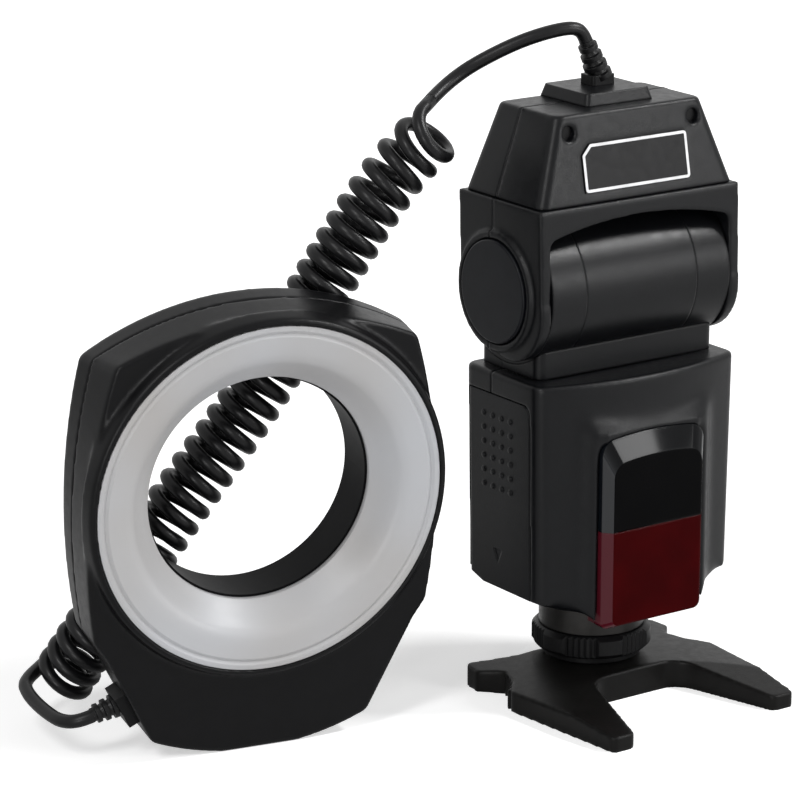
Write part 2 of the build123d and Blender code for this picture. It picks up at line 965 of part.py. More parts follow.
def yoke_cavity():
    half = drum_half_width + part_gap
    far = head_front_belly + overrun
    low = pivot_height - ear_drop - overrun
    shape = drum(-half, half, drum_radius + groove)
    shape += block(-half, half, -far, head_back + overrun, low, pivot_height)
    sides = Polyline((-half, -far, arch_side), (-half, -far, low), (half, -far, low), (half, -far, arch_side))
    arch = ThreePointArc((half, -far, arch_side), (0, -far, arch_middle), (-half, -far, arch_side))
    corners = make_face(sides + arch).vertices().sort_by(Axis.Z)[-2:]
    return shape + extrude(fillet(corners, arch_corner), far, dir=(0, 1, 0))


def make_yoke():
    shape = head_block()
    ring = boss_radius
    shape += drum(-head_half_width - boss_proud, head_half_width + boss_proud, ring)
    shape -= yoke_cavity()
    well = cap_radius + groove
    for side in (-1, 1):
        x0, x1 = sorted((side * head_half_width, side * (head_half_width + boss_proud + overrun)))
        shape -= drum(x0, x1, well)
    shape -= drum(-head_half_width - overrun, head_half_width + overrun, shaft_radius + slip_gap)
    reach = head_half_width + boss_proud + overrun
    front = shape & block(-reach, reach, -head_front_belly - overrun, body_split, 0, head_top)
    rear = shape & block(-reach, reach, body_split, head_back + overrun, 0, head_top)
    return front, rear


def make_pivot_cap(side):
    x0, x1 = sorted((side * head_half_width, side * (head_half_width + boss_proud + cap_proud)))
    cap = drum(x0, x1, cap_radius)
    rim = cap.edges().filter_by(GeomType.CIRCLE).sort_by(Axis.X)
    return fillet(rim[-1:] if side > 0 else rim[:1], cap_proud)


def hood_face(z, half_width, front, back, corner):
    return rounded_rect(half_width, -front, back, corner, z)


def hood_block(inset):
    low = hood_face(head_top, head_half_width - hood_ledge - inset, head_front - hood_ledge - inset, head_back - hood_ledge - inset, head_corner)
    top = hood_face(hood_top - inset, hood_top_half_width - inset, hood_top_front - inset, hood_top_back - inset, head_corner)
    return loft([low, top], ruled=True)


def hood_lean():
    return math.degrees(math.atan2(head_front - hood_ledge - hood_top_front, hood_top - head_top))


def hood_front_at(z):
    share = (z - head_top) / (hood_top - head_top)
    low = head_front - hood_ledge
    return low + (hood_top_front - low) * share


def label_shape(depth, height):
    z = (label_low + label_high) / 2
    half = (label_high - label_low) / 2 / math.cos(math.radians(hood_lean()))
    lean = math.radians(hood_lean())
    plane = Plane(origin=(0, -hood_front_at(z), z), x_dir=(1, 0, 0), z_dir=(0, -math.cos(lean), math.sin(lean)))
    w = label_half_width
    points = [(-w, -half), (w, -half), (w, half), (label_chamfer - w, half), (-w, half - label_chamfer)]
    face = plane * make_face(Polyline(*points, close=True))
    return Pos(0, depth * math.cos(lean), -depth * math.sin(lean)) * extrude(face, height)


def hood_screw_tools(radius, y0, y1):
    return [rod_y(radius, y0, y1, side * hood_hole_x, hood_hole_height) for side in (-1, 1)]


def make_hood():
    outer = hood_block(0)
    shape = outer - hood_block(hood_wall)
    face = -hood_front_at(hood_hole_height)
    seat = face + hood_hole_depth
    for boss in hood_screw_tools(hood_hole_radius + hood_boss_wall, face, body_split + hood_boss_length):
        shape += boss & outer
    for hole in hood_screw_tools(hood_hole_radius, face - overrun * 2, seat):
        shape -= hole
    for hole in hood_screw_tools(hood_screw_radius, seat, seat + hood_screw_length):
        shape -= hole
    shape -= label_shape(label_thickness / 2, label_thickness + overrun)
    reach = head_half_width
    front = shape & block(-reach, reach, -head_front, body_split, head_top, hood_top)
    rear = shape & block(-reach, reach, body_split, head_back, head_top, hood_top)
    return front, rear


def make_hood_screws():
    seat = hood_hole_depth - hood_front_at(hood_hole_height)
    heads = hood_screw_tools(hood_hole_radius, seat - hood_screw_radius, seat)
    shanks = hood_screw_tools(hood_screw_radius, seat, seat + hood_screw_length)
    return group([head + shank for head, shank in zip(heads, shanks)])


def make_saddle():
    half = saddle_half_width
    low = Plane(origin=(saddle_x, (hood_top_back - saddle_front) / 2, hood_top)) * RectangleRounded(2 * half, hood_top_back + saddle_front, hood_round)
    top_w = 2 * (half - saddle_draft)
    top_d = hood_top_back + saddle_front - 2 * saddle_draft
    top = Plane(origin=(saddle_x, (hood_top_back - saddle_front) / 2, hood_top + saddle_height)) * RectangleRounded(top_w, top_d, hood_round)
    return loft([low, top], ruled=True)


def make_gland():
    z0 = hood_top + saddle_height
    half_x = gland_width / 2
    half_y = gland_depth / 2
    shape = block(gland_x - half_x, gland_x + half_x, gland_y - half_y, gland_y + half_y, z0, z0 + gland_height)
    return fillet(shape.edges().filter_by(Axis.Z), foot_corner)


def ribbed_relief(root, lead, length, root_radius):
    axis = Vector(*lead).normalized()
    steady = Vector(0, 1, 0)
    if abs(axis.dot(steady)) > abs(axis.Z):
        steady = Vector(0, 0, 1)
    sunk = root_radius
    step = (length + sunk) / relief_ribs
    start = Vector(*root) - axis * sunk
    shares = [0, relief_rib_share * 0.1, relief_rib_share, relief_rib_share * 1.1]
    faces = []
    for rib in range(relief_ribs):
        reach = rib / (relief_ribs - 1)
        wide = root_radius + (relief_tip_radius - root_radius) * reach
        for share, size in zip(shares, (relief_core_share, 1, 1, relief_core_share)):
            centre = start + axis * (step * (rib + share))
            faces.append(Plane(origin=centre, x_dir=steady, z_dir=axis) * Circle(wide * size))
    tip = start + axis * (length + sunk)
    faces.append(Plane(origin=tip, x_dir=steady, z_dir=axis) * Circle(relief_tip_radius * relief_core_share))
    return loft(faces, ruled=True)


# Ring head

def ring_frame():
    return Pos(*ring_centre) * Rot(0, 0, ring_yaw) * Rot(ring_lean, 0, 0)


def to_ring(shape):
    return ring_frame() * shape


def ring_point(place):
    return (ring_frame() * Pos(*place)).position


def ring_direction(lead):
    return ring_point(lead) - ring_point((0, 0, 0))


def ring_outline(depth, crown, shoulder, side, hip, waist, foot, sole, inset):
    sx, sz = shoulder[0] - inset, shoulder[1] - inset
    hx, hz = hip[0] - inset, hip[1]
    wx, wz = waist[0] - inset, waist[1]
    fx, fz = foot[0] - inset, foot[1] - inset
    top = ThreePointArc((-sx, depth, sz), (0, depth, crown - inset), (sx, depth, sz))
    right = ThreePointArc((sx, depth, sz), (side - inset, depth, side_middle), (hx, depth, -hz))
    lower = Polyline((hx, depth, -hz), (wx, depth, -wz), (fx, depth, -fz))
    bottom = ThreePointArc((fx, depth, -fz), (0, depth, inset - sole), (-fx, depth, -fz))
    rise = Polyline((-fx, depth, -fz), (-wx, depth, -wz), (-hx, depth, -hz))
    left = ThreePointArc((-hx, depth, -hz), (inset - side, depth, side_middle), (-sx, depth, sz))
    face = make_face(top + right + lower + bottom + rise + left)
    return fillet(face.vertices(), housing_corner - inset)


def front_outline(depth, inset):
    return ring_outline(depth, crown_front, shoulder_front, side_front, hip_front, waist_front, foot_front, sole_front, inset)


def back_outline(depth, inset):
    return ring_outline(depth, crown_back, shoulder_back, side_back, hip_back, waist_back, foot_back, sole_back, inset)


def mid_outline(depth, inset):
    share = (depth - housing_front) / (housing_back - housing_front)

    def mix(a, b):
        if isinstance(a, tuple):
            return tuple(mix(x, y) for x, y in zip(a, b))
        return a + (b - a) * share

    fronts = (crown_front, shoulder_front, side_front, hip_front, waist_front, foot_front, sole_front)
    backs = (crown_back, shoulder_back, side_back, hip_back, waist_back, foot_back, sole_back)
    return ring_outline(depth, *[mix(a, b) for a, b in zip(fronts, backs)], inset)


def housing(depth0, depth1, inset):
    return loft([mid_outline(depth0, inset), mid_outline(depth1, inset)], ruled=True)


def floor_cut():
    wide = crown_back + sole_back
    world = block(ring_centre[0] - wide, ring_centre[0] + wide, -wide, wide, -wide, 0)
    return ring_frame().inverse() * world


def ring_turn(points):
    face = make_face(Polyline(*[(r, d, 0) for r, d in points], close=True))
    return revolve(face, Axis.Y)


def gland_place():
    run = (-ring_gland_height - waist_front[1]) / (foot_front[1] - waist_front[1])
    x = waist_front[0] + (foot_front[0] - waist_front[0]) * run
    lean = math.atan2(waist_front[0] - foot_front[0], foot_front[1] - waist_front[1])
    return Pos(-x, ring_gland_depth, ring_gland_height) * Rot(0, -math.degrees(lean), 0)


def gland_box():
    half_y = ring_gland_width / 2
    half_z = ring_gland_length / 2
    return gland_place() * block(-ring_gland_proud, ring_gland_sunk, -half_y, half_y, -half_z, half_z)


def ring_screw_rods(radius, d0, d1):
    return [rod_y(radius, d0, d1, x, z) for x, z in ring_screw_places]


def ring_screw_seat():
    return housing_back - ring_screw_head - groove


def ring_front():
    shape = housing(housing_front, housing_seam, 0)
    inner_front = bezel_root_depth + housing_wall
    shape -= housing(inner_front, housing_seam, housing_wall)
    boss = ring_screw_radius + bore_wall
    for rod in ring_screw_rods(boss, inner_front, housing_seam):
        shape += rod
    shape -= rod_y(bezel_root_radius, 0, bezel_root_depth)
    shape -= rod_y(reflector_outer + seat_gap, 0, housing_seam)
    tip = ring_screw_seat() - ring_screw_length
    for rod in ring_screw_rods(ring_screw_radius, tip, housing_seam):
        shape -= rod
    return shape - gland_box() - floor_cut()


def ring_cover():
    shape = housing(housing_seam, housing_back, 0)
    edge = shape.edges().filter_by(lambda e: e.bounding_box().min.Y > housing_back - groove)
    shape = chamfer(edge, housing_wall - groove)
    shape -= housing(housing_seam, housing_back - housing_wall, housing_wall)
    boss = ring_screw_head_radius + bore_wall / 2
    for rod in ring_screw_rods(boss, housing_seam, housing_back - housing_wall):
        shape += rod
    shape -= rod_y(lens_bore_radius + bore_wall, 0, housing_back + overrun)
    seat = ring_screw_seat()
    for rod in ring_screw_rods(ring_screw_radius, 0, seat):
        shape -= rod
    for rod in ring_screw_rods(ring_screw_head_radius, seat, housing_back + overrun):
        shape -= rod
    return shape - gland_box() - floor_cut()


def make_ring_screws():
    seat = ring_screw_seat()
    heads = ring_screw_rods(ring_screw_head_radius, seat, seat + ring_screw_head)
    shanks = ring_screw_rods(ring_screw_radius, seat - ring_screw_length, seat)
    return group([to_ring(head + shank) for head, shank in zip(heads, shanks)])


def make_bezel():
    inner = rim_radius + seat_gap
    points = [
        (inner, 0), (bezel_lip_radius - part_gap, 0), (bezel_lip_radius, bezel_lip_depth),
        (bezel_root_radius, bezel_root_depth), (inner, bezel_root_depth),
    ]
    return ring_turn(points)


def make_diffuser():
    front = [(r * rim_radius, d * diffuser_depth) for r, d in diffuser_shares]
    back = [(r, d + diffuser_wall) for r, d in reversed(front[1:])]
    skirt = rim_radius - diffuser_wall
    back = [point for point in back if point[0] < skirt]
    foot = [(skirt, front[1][1] + diffuser_wall), (skirt, bezel_root_depth), (rim_radius, bezel_root_depth)]
    return ring_turn(front + back + foot)


def tube_front():
    return diffuser_depth + diffuser_wall


def make_bore_tube():
    d0 = tube_front()
    outer = lens_bore_radius + bore_wall
    flange = d0 + bore_flange
    points = [
        (lens_bore_radius, d0), (bore_flange_radius, d0), (bore_flange_radius, flange),
        (outer, flange), (outer, housing_back), (lens_bore_radius, housing_back),
    ]
    return ring_turn(points)


def make_reflector():
    wall = reflector_wall
    lip = bezel_root_depth + housing_wall
    floor = reflector_depth - wall
    inner = reflector_inner
    outer = reflector_outer
    points = [
        (inner, tube_front()), (inner + wall, tube_front()), (inner + wall, floor), (outer - wall, floor),
        (outer - wall, lip), (outer, lip), (outer, reflector_depth), (inner, reflector_depth),
    ]
    return ring_turn(points)


def make_flash_tubes():
    shapes = []
    for start in (tube_gap_angle / 2, 180 + tube_gap_angle / 2):
        face = Pos(tube_circle_radius, tube_depth, 0) * Circle(tube_radius)
        arc = revolve(face, Axis.Y, 180 - tube_gap_angle)
        shapes.append(to_ring(Rot(0, start, 0) * arc))
    return group(shapes)


def make_ring_board():
    d0 = reflector_depth + slip_gap
    d1 = d0 + board_thickness
    inner = lens_bore_radius + bore_wall + part_gap
    return ring_turn([(inner, d0), (reflector_outer, d0), (reflector_outer, d1), (inner, d1)])


def make_ring_relief():
    root = ring_relief_start
    body = ribbed_relief(root, ring_relief_lead, ring_relief_length, ring_relief_root_radius)
    solid = body - gland_box() - housing(housing_front, housing_back, 0)
    return max(solid.solids(), key=lambda part: part.volume)


# Cord

def dot(a, b):
    return sum(x * y for x, y in zip(a, b))


def cross(a, b):
    return (a[1] * b[2] - a[2] * b[1], a[2] * b[0] - a[0] * b[2], a[0] * b[1] - a[1] * b[0])


def shift(a, b, scale):
    return tuple(x + y * scale for x, y in zip(a, b))


def away(a, b):
    return tuple(y - x for x, y in zip(a, b))


def size_of(a):
    return math.sqrt(dot(a, a))


def unit_of(a):
    return tuple(x / size_of(a) for x in a)


def smooth_line(points, steps):
    line = []
    last = len(points) - 2
    start = points[0]
    for index in range(1, last + 1):
        bend = points[index]
        end = points[index + 1] if index == last else shift(bend, away(bend, points[index + 1]), 0.5)
        for step in range(steps):
            t = step / steps
            line.append(shift(shift(start, away(start, bend), 2 * t * (1 - t)), away(start, end), t * t))
        start = end
    line.append(points[-1])
    return line


def travelled(line):
    total = [0.0]
    for a, b in zip(line, line[1:]):
        total.append(total[-1] + size_of(away(a, b)))
    return total


def look_up(value, keys, rows):
    low, high = 0, len(keys) - 1
    while high - low > 1:
        middle = (low + high) // 2
        low, high = (middle, high) if keys[middle] <= value else (low, middle)
    share = (value - keys[low]) / (keys[high] - keys[low])
    return shift(rows[low], away(rows[low], rows[high]), share)


def axis_frames(line):
    tangents = []
    for index in range(len(line)):
        a = line[max(index - 1, 0)]
        b = line[min(index + 1, len(line) - 1)]
        tangents.append(unit_of(away(a, b)))
    seconds = [None] * len(line)
    carried = view_away
    for index in range(len(line) - 1, -1, -1):
        t = tangents[index]
        carried = unit_of(shift(carried, t, -dot(carried, t)))
        seconds[index] = carried
    firsts = [cross(t, e) for t, e in zip(tangents, seconds)]
    return tangents, firsts, seconds


def curl_places(steps, count):
    shares = curl_pitch_shares
    places = [0.0]
    last = len(shares) - 1
    for step in range(steps):
        where = (step + 0.5) / steps * last
        low = min(int(where), last - 1)
        pitch = shares[low] + (shares[low + 1] - shares[low]) * (where - low)
        places.append(places[-1] + 1 / pitch)
    scale = places[-1]
    keys = [(place / scale) for place in places]
    rows = [(step / steps,) for step in range(steps + 1)]
    return [look_up(index / count, keys, rows)[0] for index in range(count + 1)]


def curl_points(per_curl):
    line = smooth_line(coil_route, 60)
    lengths = travelled(line)
    tangents, firsts, seconds = axis_frames(line)
    count = curl_count * per_curl
    points, leads = [], []
    places = curl_places(2000, count)
    for index, place in enumerate(places):
        along = place * lengths[-1]
        centre = look_up(along, lengths, line)
        e1 = look_up(along, lengths, firsts)
        e2 = look_up(along, lengths, seconds)
        turn = 2 * math.pi * (curl_start_turn + index / per_curl)
        spoke = shift(shift((0, 0, 0), e1, math.cos(turn)), e2, math.sin(turn))
        points.append(shift(centre, spoke, curl_radius))
        before = places[max(index - 1, 0)]
        after = places[min(index + 1, count)]
        pitch = (after - before) * lengths[-1] / (min(index + 1, count) - max(index - 1, 0)) * per_curl
        around = shift(shift((0, 0, 0), e1, -math.sin(turn)), e2, math.cos(turn))
        climb = look_up(along, lengths, tangents)
        leads.append(unit_of(shift(shift((0, 0, 0), around, 2 * math.pi * curl_radius), climb, pitch)))
    return points, leads


def biarc(p0, t0, p1, t1):
    chord = away(p0, p1)
    both = shift(t0, t1, 1)
    a = 2 * (1 - dot(t0, t1))
    b = 2 * dot(chord, both)
    reach = (-b + math.sqrt(b * b + 4 * a * dot(chord, chord))) / (2 * a)
    bend0 = shift(p0, t0, reach)
    bend1 = shift(p1, t1, -reach)
    joint = shift(bend0, away(bend0, bend1), 0.5)
    return joint


def coil_ends():
    points, leads = curl_points(arcs_per_curl)
    straight = 2 * cord_radius
    first = shift(points[0], leads[0], -straight)
    last = shift(points[-1], leads[-1], straight)
    return first, leads[0], last, leads[-1]


def coil_wire():
    points, leads = curl_points(arcs_per_curl)
    first, lead0, last, lead1 = coil_ends()
    edges = [Line(first, points[0])]
    for p0, t0, p1, t1 in zip(points, leads, points[1:], leads[1:]):
        joint = biarc(p0, t0, p1, t1)
        edges.append(TangentArc(p0, joint, tangent=t0))
        lead = edges[-1] % 1
        edges.append(TangentArc(joint, p1, tangent=(lead.X, lead.Y, lead.Z)))
    edges.append(Line(points[-1], last))
    return Wire([edge.edge() for edge in edges])


def least_gap():
    per = 48
    points, leads = curl_points(per)
    gap = None
    for index in range(0, len(points), 4):
        for other in range(index + per // 2, min(index + 2 * per, len(points))):
            found = size_of(away(points[index], points[other])) - 2 * cord_radius
            gap = found if gap is None else min(gap, found)
    return gap


def tube(name, route):
    vectors = [Vector(*point) for point in route]
    radii = []
    for a, b, c in zip(vectors, vectors[1:], vectors[2:]):
        turn = math.radians((b - a).get_angle(c - b))
        radii.append(min((b - a).length, (c - b).length) * 0.45 / math.tan(turn / 2))
    path = FilletPolyline(*route, radius=radii)
    start = Plane(origin=path @ 0, z_dir=path % 0)
    solid = sweep(start * Circle(cord_radius), path=path)
    print(name, "radii", [round(radius, 1) for radius in radii])
    print(name, "runs", [round((b - a).length, 1) for a, b in zip(vectors, vectors[1:])])
    print(name, "volume", round(solid.volume, 1), "section by length", round(math.pi * cord_radius ** 2 * path.length, 1))
    return solid, path.length


def lead_points():
    first, lead0, last, lead1 = coil_ends()
    start = unit_of(away(relief_root, relief_tip))
    ends = [shift(first, lead0, -lead_last_run), first]
    return [relief_tip, shift(relief_tip, start, lead_first_run)] + lead_route + ends


def tail_points():
    first, lead0, last, lead1 = coil_ends()
    relief = unit_of(tuple(ring_direction(ring_relief_lead)))
    tip = ring_point(shift(ring_relief_start, unit_of(ring_relief_lead), ring_relief_length))
    tip = tuple(tip)
    return [last, shift(last, lead1, tail_first_run)] + tail_route + [shift(tip, relief, tail_last_run), tip]


def make_cords():
    lead_cord, lead_length = tube("lead_cord", lead_points())
    tail_cord, tail_length = tube("tail_cord", tail_points())
    wire = coil_wire()
    start = Plane(origin=wire @ 0, z_dir=wire % 0)
    coil = sweep(start * Circle(cord_radius), path=wire)
    print("curly_cord least gap", round(least_gap(), 2), "volume", round(coil.volume, 1),
          "section by length", round(math.pi * cord_radius ** 2 * wire.length, 1))
    print("cord length", round(lead_length + wire.length + tail_length, 1))
    return lead_cord, coil, tail_cord


# Every piece

def main():
    save("stand_base", make_stand())
    save("stand_insert", make_insert())
    save("foot_plate", make_foot_plate())
    low = foot_low()
    pads = [rod_z(pad_radius, low, low + pad_height, x, y) for x, y in pad_spots()]
    save("foot_contacts", group([rod_z(contact_radius, low, low + contact_height)] + pads))
    save("foot_block", make_foot_block())
    save("lock_ring", make_lock_ring())
    front, rear = make_body_shells()
    save("body_front_shell", front)
    save("body_rear_shell", rear)
    black, red = make_windows()
    save("window_black", black)
    save("window_red", red)
    save("battery_door", make_door())
    save("door_pin", make_door_pin())
    save("door_contacts", make_door_contacts())
    save("battery_cells", make_cells())
    save("battery_holder", make_holder())
    save("battery_contacts", make_contacts())
    save("flash_board", make_flash_board())
    save("control_board", make_control_board())
    save("capacitor", make_capacitor())
    save("control_panel", make_panel())
    save("power_switch", make_switch())
    save("test_button", make_button(test_place))
    save("mode_button", make_button(mode_place))
    save("plus_button", make_button(plus_place))
    save("minus_button", make_button(minus_place))
    save("level_lights", make_lamps())
    save("body_screws", make_body_screws())
    neck_front_part, neck_rear_part = make_neck()
    save("neck_front", neck_front_part)
    save("neck_rear", neck_rear_part)
    save("swivel_spigot", make_spigot())
    save("swivel_retainer", make_retainer())
    save("drum_middle", make_drum_middle())
    save("drum_end_left", make_drum_end(-1))
    save("drum_end_right", make_drum_end(1))
    save("pivot_shaft", make_shaft())
    yoke_front, yoke_rear = make_yoke()
    save("yoke_front_shell", yoke_front)
    save("yoke_rear_shell", yoke_rear)
    save("pivot_cap_left", make_pivot_cap(-1))
    save("pivot_cap_right", make_pivot_cap(1))
    hood_front, hood_rear = make_hood()
    save("hood_front_shell", hood_front)
    save("hood_rear_shell", hood_rear)
    save("label_plate", label_shape(label_thickness / 2, label_thickness))
    save("hood_screws", make_hood_screws())
    save("cable_saddle", make_saddle())
    save("head_gland", make_gland())
    lead = away(relief_root, relief_tip)
    relief = ribbed_relief(relief_root, lead, size_of(lead), relief_root_radius) - make_gland() - make_saddle()
    save("head_relief", max(relief.solids(), key=lambda part: part.volume))
    save("ring_front_housing", to_ring(ring_front()))
    save("ring_rear_cover", to_ring(ring_cover()))
    save("ring_bezel", to_ring(make_bezel()))
    save("ring_diffuser", to_ring(make_diffuser()))
    save("ring_bore_tube", to_ring(make_bore_tube()))
    save("ring_reflector", to_ring(make_reflector()))
    save("flash_tubes", make_flash_tubes())
    save("ring_board", to_ring(make_ring_board()))
    save("ring_screws", make_ring_screws())
    save("ring_gland", to_ring(gland_box()))
    save("ring_relief", to_ring(make_ring_relief()))
    lead_cord, curly_cord, tail_cord = make_cords()
    save("lead_cord", lead_cord)
    save("curly_cord", curly_cord)
    save("tail_cord", tail_cord)


main()
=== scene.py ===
"""Macro ring flash: the power unit on its mini stand, the curly cord and the ring light head.

Places are in metres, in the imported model's frame: the unit's front looks along -Y and the ring
head stands at its left. Radii of rounded edges, the rules for the shells, the diffuser's profile
and the label's outline are in millimetres.
"""
import math

import bmesh
import bpy
import numpy as np
from mathutils import Matrix, Vector


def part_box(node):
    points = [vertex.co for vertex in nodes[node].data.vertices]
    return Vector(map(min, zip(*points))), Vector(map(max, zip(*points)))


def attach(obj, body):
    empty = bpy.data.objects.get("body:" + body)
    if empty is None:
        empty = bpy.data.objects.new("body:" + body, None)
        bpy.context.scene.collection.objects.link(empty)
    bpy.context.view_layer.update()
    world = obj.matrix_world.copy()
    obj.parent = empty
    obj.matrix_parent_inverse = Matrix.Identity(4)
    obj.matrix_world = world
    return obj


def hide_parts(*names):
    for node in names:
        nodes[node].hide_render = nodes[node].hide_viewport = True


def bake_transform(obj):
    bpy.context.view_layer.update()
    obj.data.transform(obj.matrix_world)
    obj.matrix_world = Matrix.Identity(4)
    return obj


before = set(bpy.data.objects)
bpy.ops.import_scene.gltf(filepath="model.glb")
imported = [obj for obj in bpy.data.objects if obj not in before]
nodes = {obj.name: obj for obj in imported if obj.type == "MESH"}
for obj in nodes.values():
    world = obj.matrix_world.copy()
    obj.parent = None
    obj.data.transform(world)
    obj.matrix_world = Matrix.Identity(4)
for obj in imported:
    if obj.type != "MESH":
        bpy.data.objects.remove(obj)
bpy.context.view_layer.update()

MM = 0.001


def box_mm(name):
    low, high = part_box(name)
    return [value / MM for value in low], [value / MM for value in high]


# Camera, as the photograph was taken
CAMERA_PLACE = (-0.6567, -0.8450, 0.3949)
CAMERA_TILT = 74.006
CAMERA_TURN = -34.703
SENSOR = 36.0
IMAGE_SIZE = 800
FOCAL_PIXELS = 3677
CLIP_START = 0.05
CLIP_END = 50

# Cord
CORD_DIAMETER = 0.0041
CURL_RADIUS = 0.0075
CURL_COUNT = 35
CURL_START_TURN = 0.5
CURL_PITCH_SHARES = [1.5, 1.2, 1.02, 0.96, 0.96, 1.0, 1.02, 1.04, 1.04, 1.0, 0.96, 0.94, 0.94]
VIEW_AWAY = Vector((0.5473, 0.7903, -0.2755))
STEPS_PER_CURL = 28
CORD_SIDES = 14
CURL_SPACING_STEPS = 2000
ROUTE_STEPS = 24
COIL_STEPS = 60
COIL_ROUTE = [
    (-0.0512, 0.0090, 0.1769), (-0.0539, 0.0155, 0.1715), (-0.0648, 0.0196, 0.1586), (-0.0798, 0.0243, 0.1348),
    (-0.1027, 0.0322, 0.0963), (-0.1234, 0.0385, 0.0692), (-0.1411, 0.0455, 0.0415), (-0.1504, 0.0520, 0.0236),
    (-0.1538, 0.0590, 0.0125),
]
LEAD_ROUTE = [
    (-0.0057, 0.0041, 0.2022), (-0.0096, 0.0045, 0.2025), (-0.0160, 0.0061, 0.2015), (-0.0225, 0.0096, 0.1991),
    (-0.0295, 0.0140, 0.1952), (-0.0365, 0.0174, 0.1910),
]
RELIEF_ROOT = Vector((0.0026, 0.0040, 0.1879))
RELIEF_TIP = Vector((-0.0022, 0.0040, 0.1982))
LEAD_FIRST_RUN = 0.0025
LEAD_LAST_RUN = 0.0070
TAIL_ROUTE = [
    (-0.1679, 0.0536, 0.0138), (-0.1687, 0.0465, 0.0126), (-0.1690, 0.0388, 0.0119), (-0.1689, 0.0318, 0.0118),
]
RING_RELIEF_TIP = Vector((-0.16209, 0.02535, 0.01412))
RING_RELIEF_LEAD = Vector((-0.9178, 0.2027, -0.2791))
TAIL_FIRST_RUN = 0.0050
TAIL_LAST_RUN = 0.0046


# Materials

NOISE_SPAN = (0.3, 0.7)
MOTTLE_SCALE = 160
GLOSS_SCALE = 420
METAL_GRAIN_SCALE = 900
GRAIN_DEPTH = 0.00006
FINE_GRAIN_DEPTH = 0.00004
BEVEL_SAMPLES = 6
GLOSSY_EDGE = 0.4
LENS_EDGE = 1.2
LENS_SLOPE_STARTS = 0.96
LENS_SLOPE_FULL = 0.80
DIFFUSER_EDGE = 0.5
DIFFUSER_DEPTH = 0.003


def new_material(name):
    material = bpy.data.materials.new(name)
    material.use_nodes = True
    tree = material.node_tree
    return material, tree, tree.nodes["Principled BSDF"]


def add(tree, kind, **values):
    """A new node, with some of its own settings."""
    node = tree.nodes.new(kind)
    for key, value in values.items():
        setattr(node, key, value)
    return node


def put(node, **values):
    """Sets a node's sockets, whose names have _ for each space."""
    for key, value in values.items():
        node.inputs[key.replace("_", " ")].default_value = value


def join(tree, source, node, socket):
    tree.links.new(source, node.inputs[socket])


def object_space(tree):
    return add(tree, "ShaderNodeTexCoord").outputs["Object"]


def noise(tree, scale, detail, roughness=0.6):
    node = add(tree, "ShaderNodeTexNoise")
    put(node, Scale=scale, Detail=detail, Roughness=roughness)
    join(tree, object_space(tree), node, "Vector")
    return node.outputs["Fac"]


def ramp(tree, source, low, high, start=0.35, end=0.65):
    node = add(tree, "ShaderNodeValToRGB")
    node.color_ramp.elements[0].position = start
    node.color_ramp.elements[0].color = (*low, 1)
    node.color_ramp.elements[1].position = end
    node.color_ramp.elements[1].color = (*high, 1)
    join(tree, source, node, "Fac")
    return node.outputs["Color"]


def rescale(tree, source, start, end, low=0.0, high=1.0):
    node = add(tree, "ShaderNodeMapRange")
    put(node, From_Min=start, From_Max=end, To_Min=low, To_Max=high)
    join(tree, source, node, "Value")
    return node.outputs["Result"]


def spread(tree, source, low, high):
    """A noise spread over a span of values."""
    return rescale(tree, source, *NOISE_SPAN, low, high)


def calculate(tree, operation, *terms):
    """The result of one operation on sockets and plain numbers."""
    node = add(tree, "ShaderNodeMath", operation=operation)
    for socket, term in zip(node.inputs, terms):
        if isinstance(term, float):
            socket.default_value = term
        else:
            tree.links.new(term, socket)
    return node.outputs["Value"]


def round_edges(tree, radius):
    """Normals that look rounded off at the edges."""
    node = add(tree, "ShaderNodeBevel", samples=BEVEL_SAMPLES)
    put(node, Radius=radius * MM)
    return node.outputs["Normal"]


def bump(tree, shader, source, strength, distance, edge=0.0):
    node = add(tree, "ShaderNodeBump")
    put(node, Strength=strength, Distance=distance)
    join(tree, source, node, "Height")
    if edge:
        join(tree, round_edges(tree, edge), node, "Normal")
    join(tree, node.outputs["Normal"], shader, "Normal")


def shade(colour, scale):
    return tuple(part * scale for part in colour)


def mottled(tree, shader, scale, detail, colour, darker, lighter):
    """A colour that is a little darker and lighter from place to place."""
    tint = ramp(tree, noise(tree, scale, detail), shade(colour, darker), shade(colour, lighter))
    join(tree, tint, shader, "Base Color")


def uneven_gloss(tree, shader, scale, detail, low, high):
    join(tree, spread(tree, noise(tree, scale, detail), low, high), shader, "Roughness")


def moulded(name, colour, rough, grain=0.35, scale=2600, specular=0.5, swing=0.12, edge=0.6):
    """Moulded plastic with a fine grain, slight mottling and softly rounded edges."""
    material, tree, shader = new_material(name)
    mottled(tree, shader, MOTTLE_SCALE, 3, colour, 1 - swing, 1 + swing)
    uneven_gloss(tree, shader, GLOSS_SCALE, 3, rough - 0.04, rough + 0.05)
    put(shader, Specular_IOR_Level=specular)
    bump(tree, shader, noise(tree, scale, 5, 0.7), grain, GRAIN_DEPTH, edge)
    return material


def glossy(name, colour, rough, specular=0.5):
    material, tree, shader = new_material(name)
    mottled(tree, shader, 90, 2, colour, 0.93, 1.07)
    uneven_gloss(tree, shader, 300, 3, rough, rough + 0.03)
    put(shader, Specular_IOR_Level=specular)
    join(tree, round_edges(tree, GLOSSY_EDGE), shader, "Normal")
    return material


def metal(name, colour, rough):
    material, tree, shader = new_material(name)
    mottled(tree, shader, 220, 3, colour, 0.9, 1.05)
    uneven_gloss(tree, shader, METAL_GRAIN_SCALE, 4, rough - 0.06, rough + 0.08)
    put(shader, Metallic=1.0)
    bump(tree, shader, noise(tree, METAL_GRAIN_SCALE * 2, 3), 0.12, FINE_GRAIN_DEPTH)
    return material


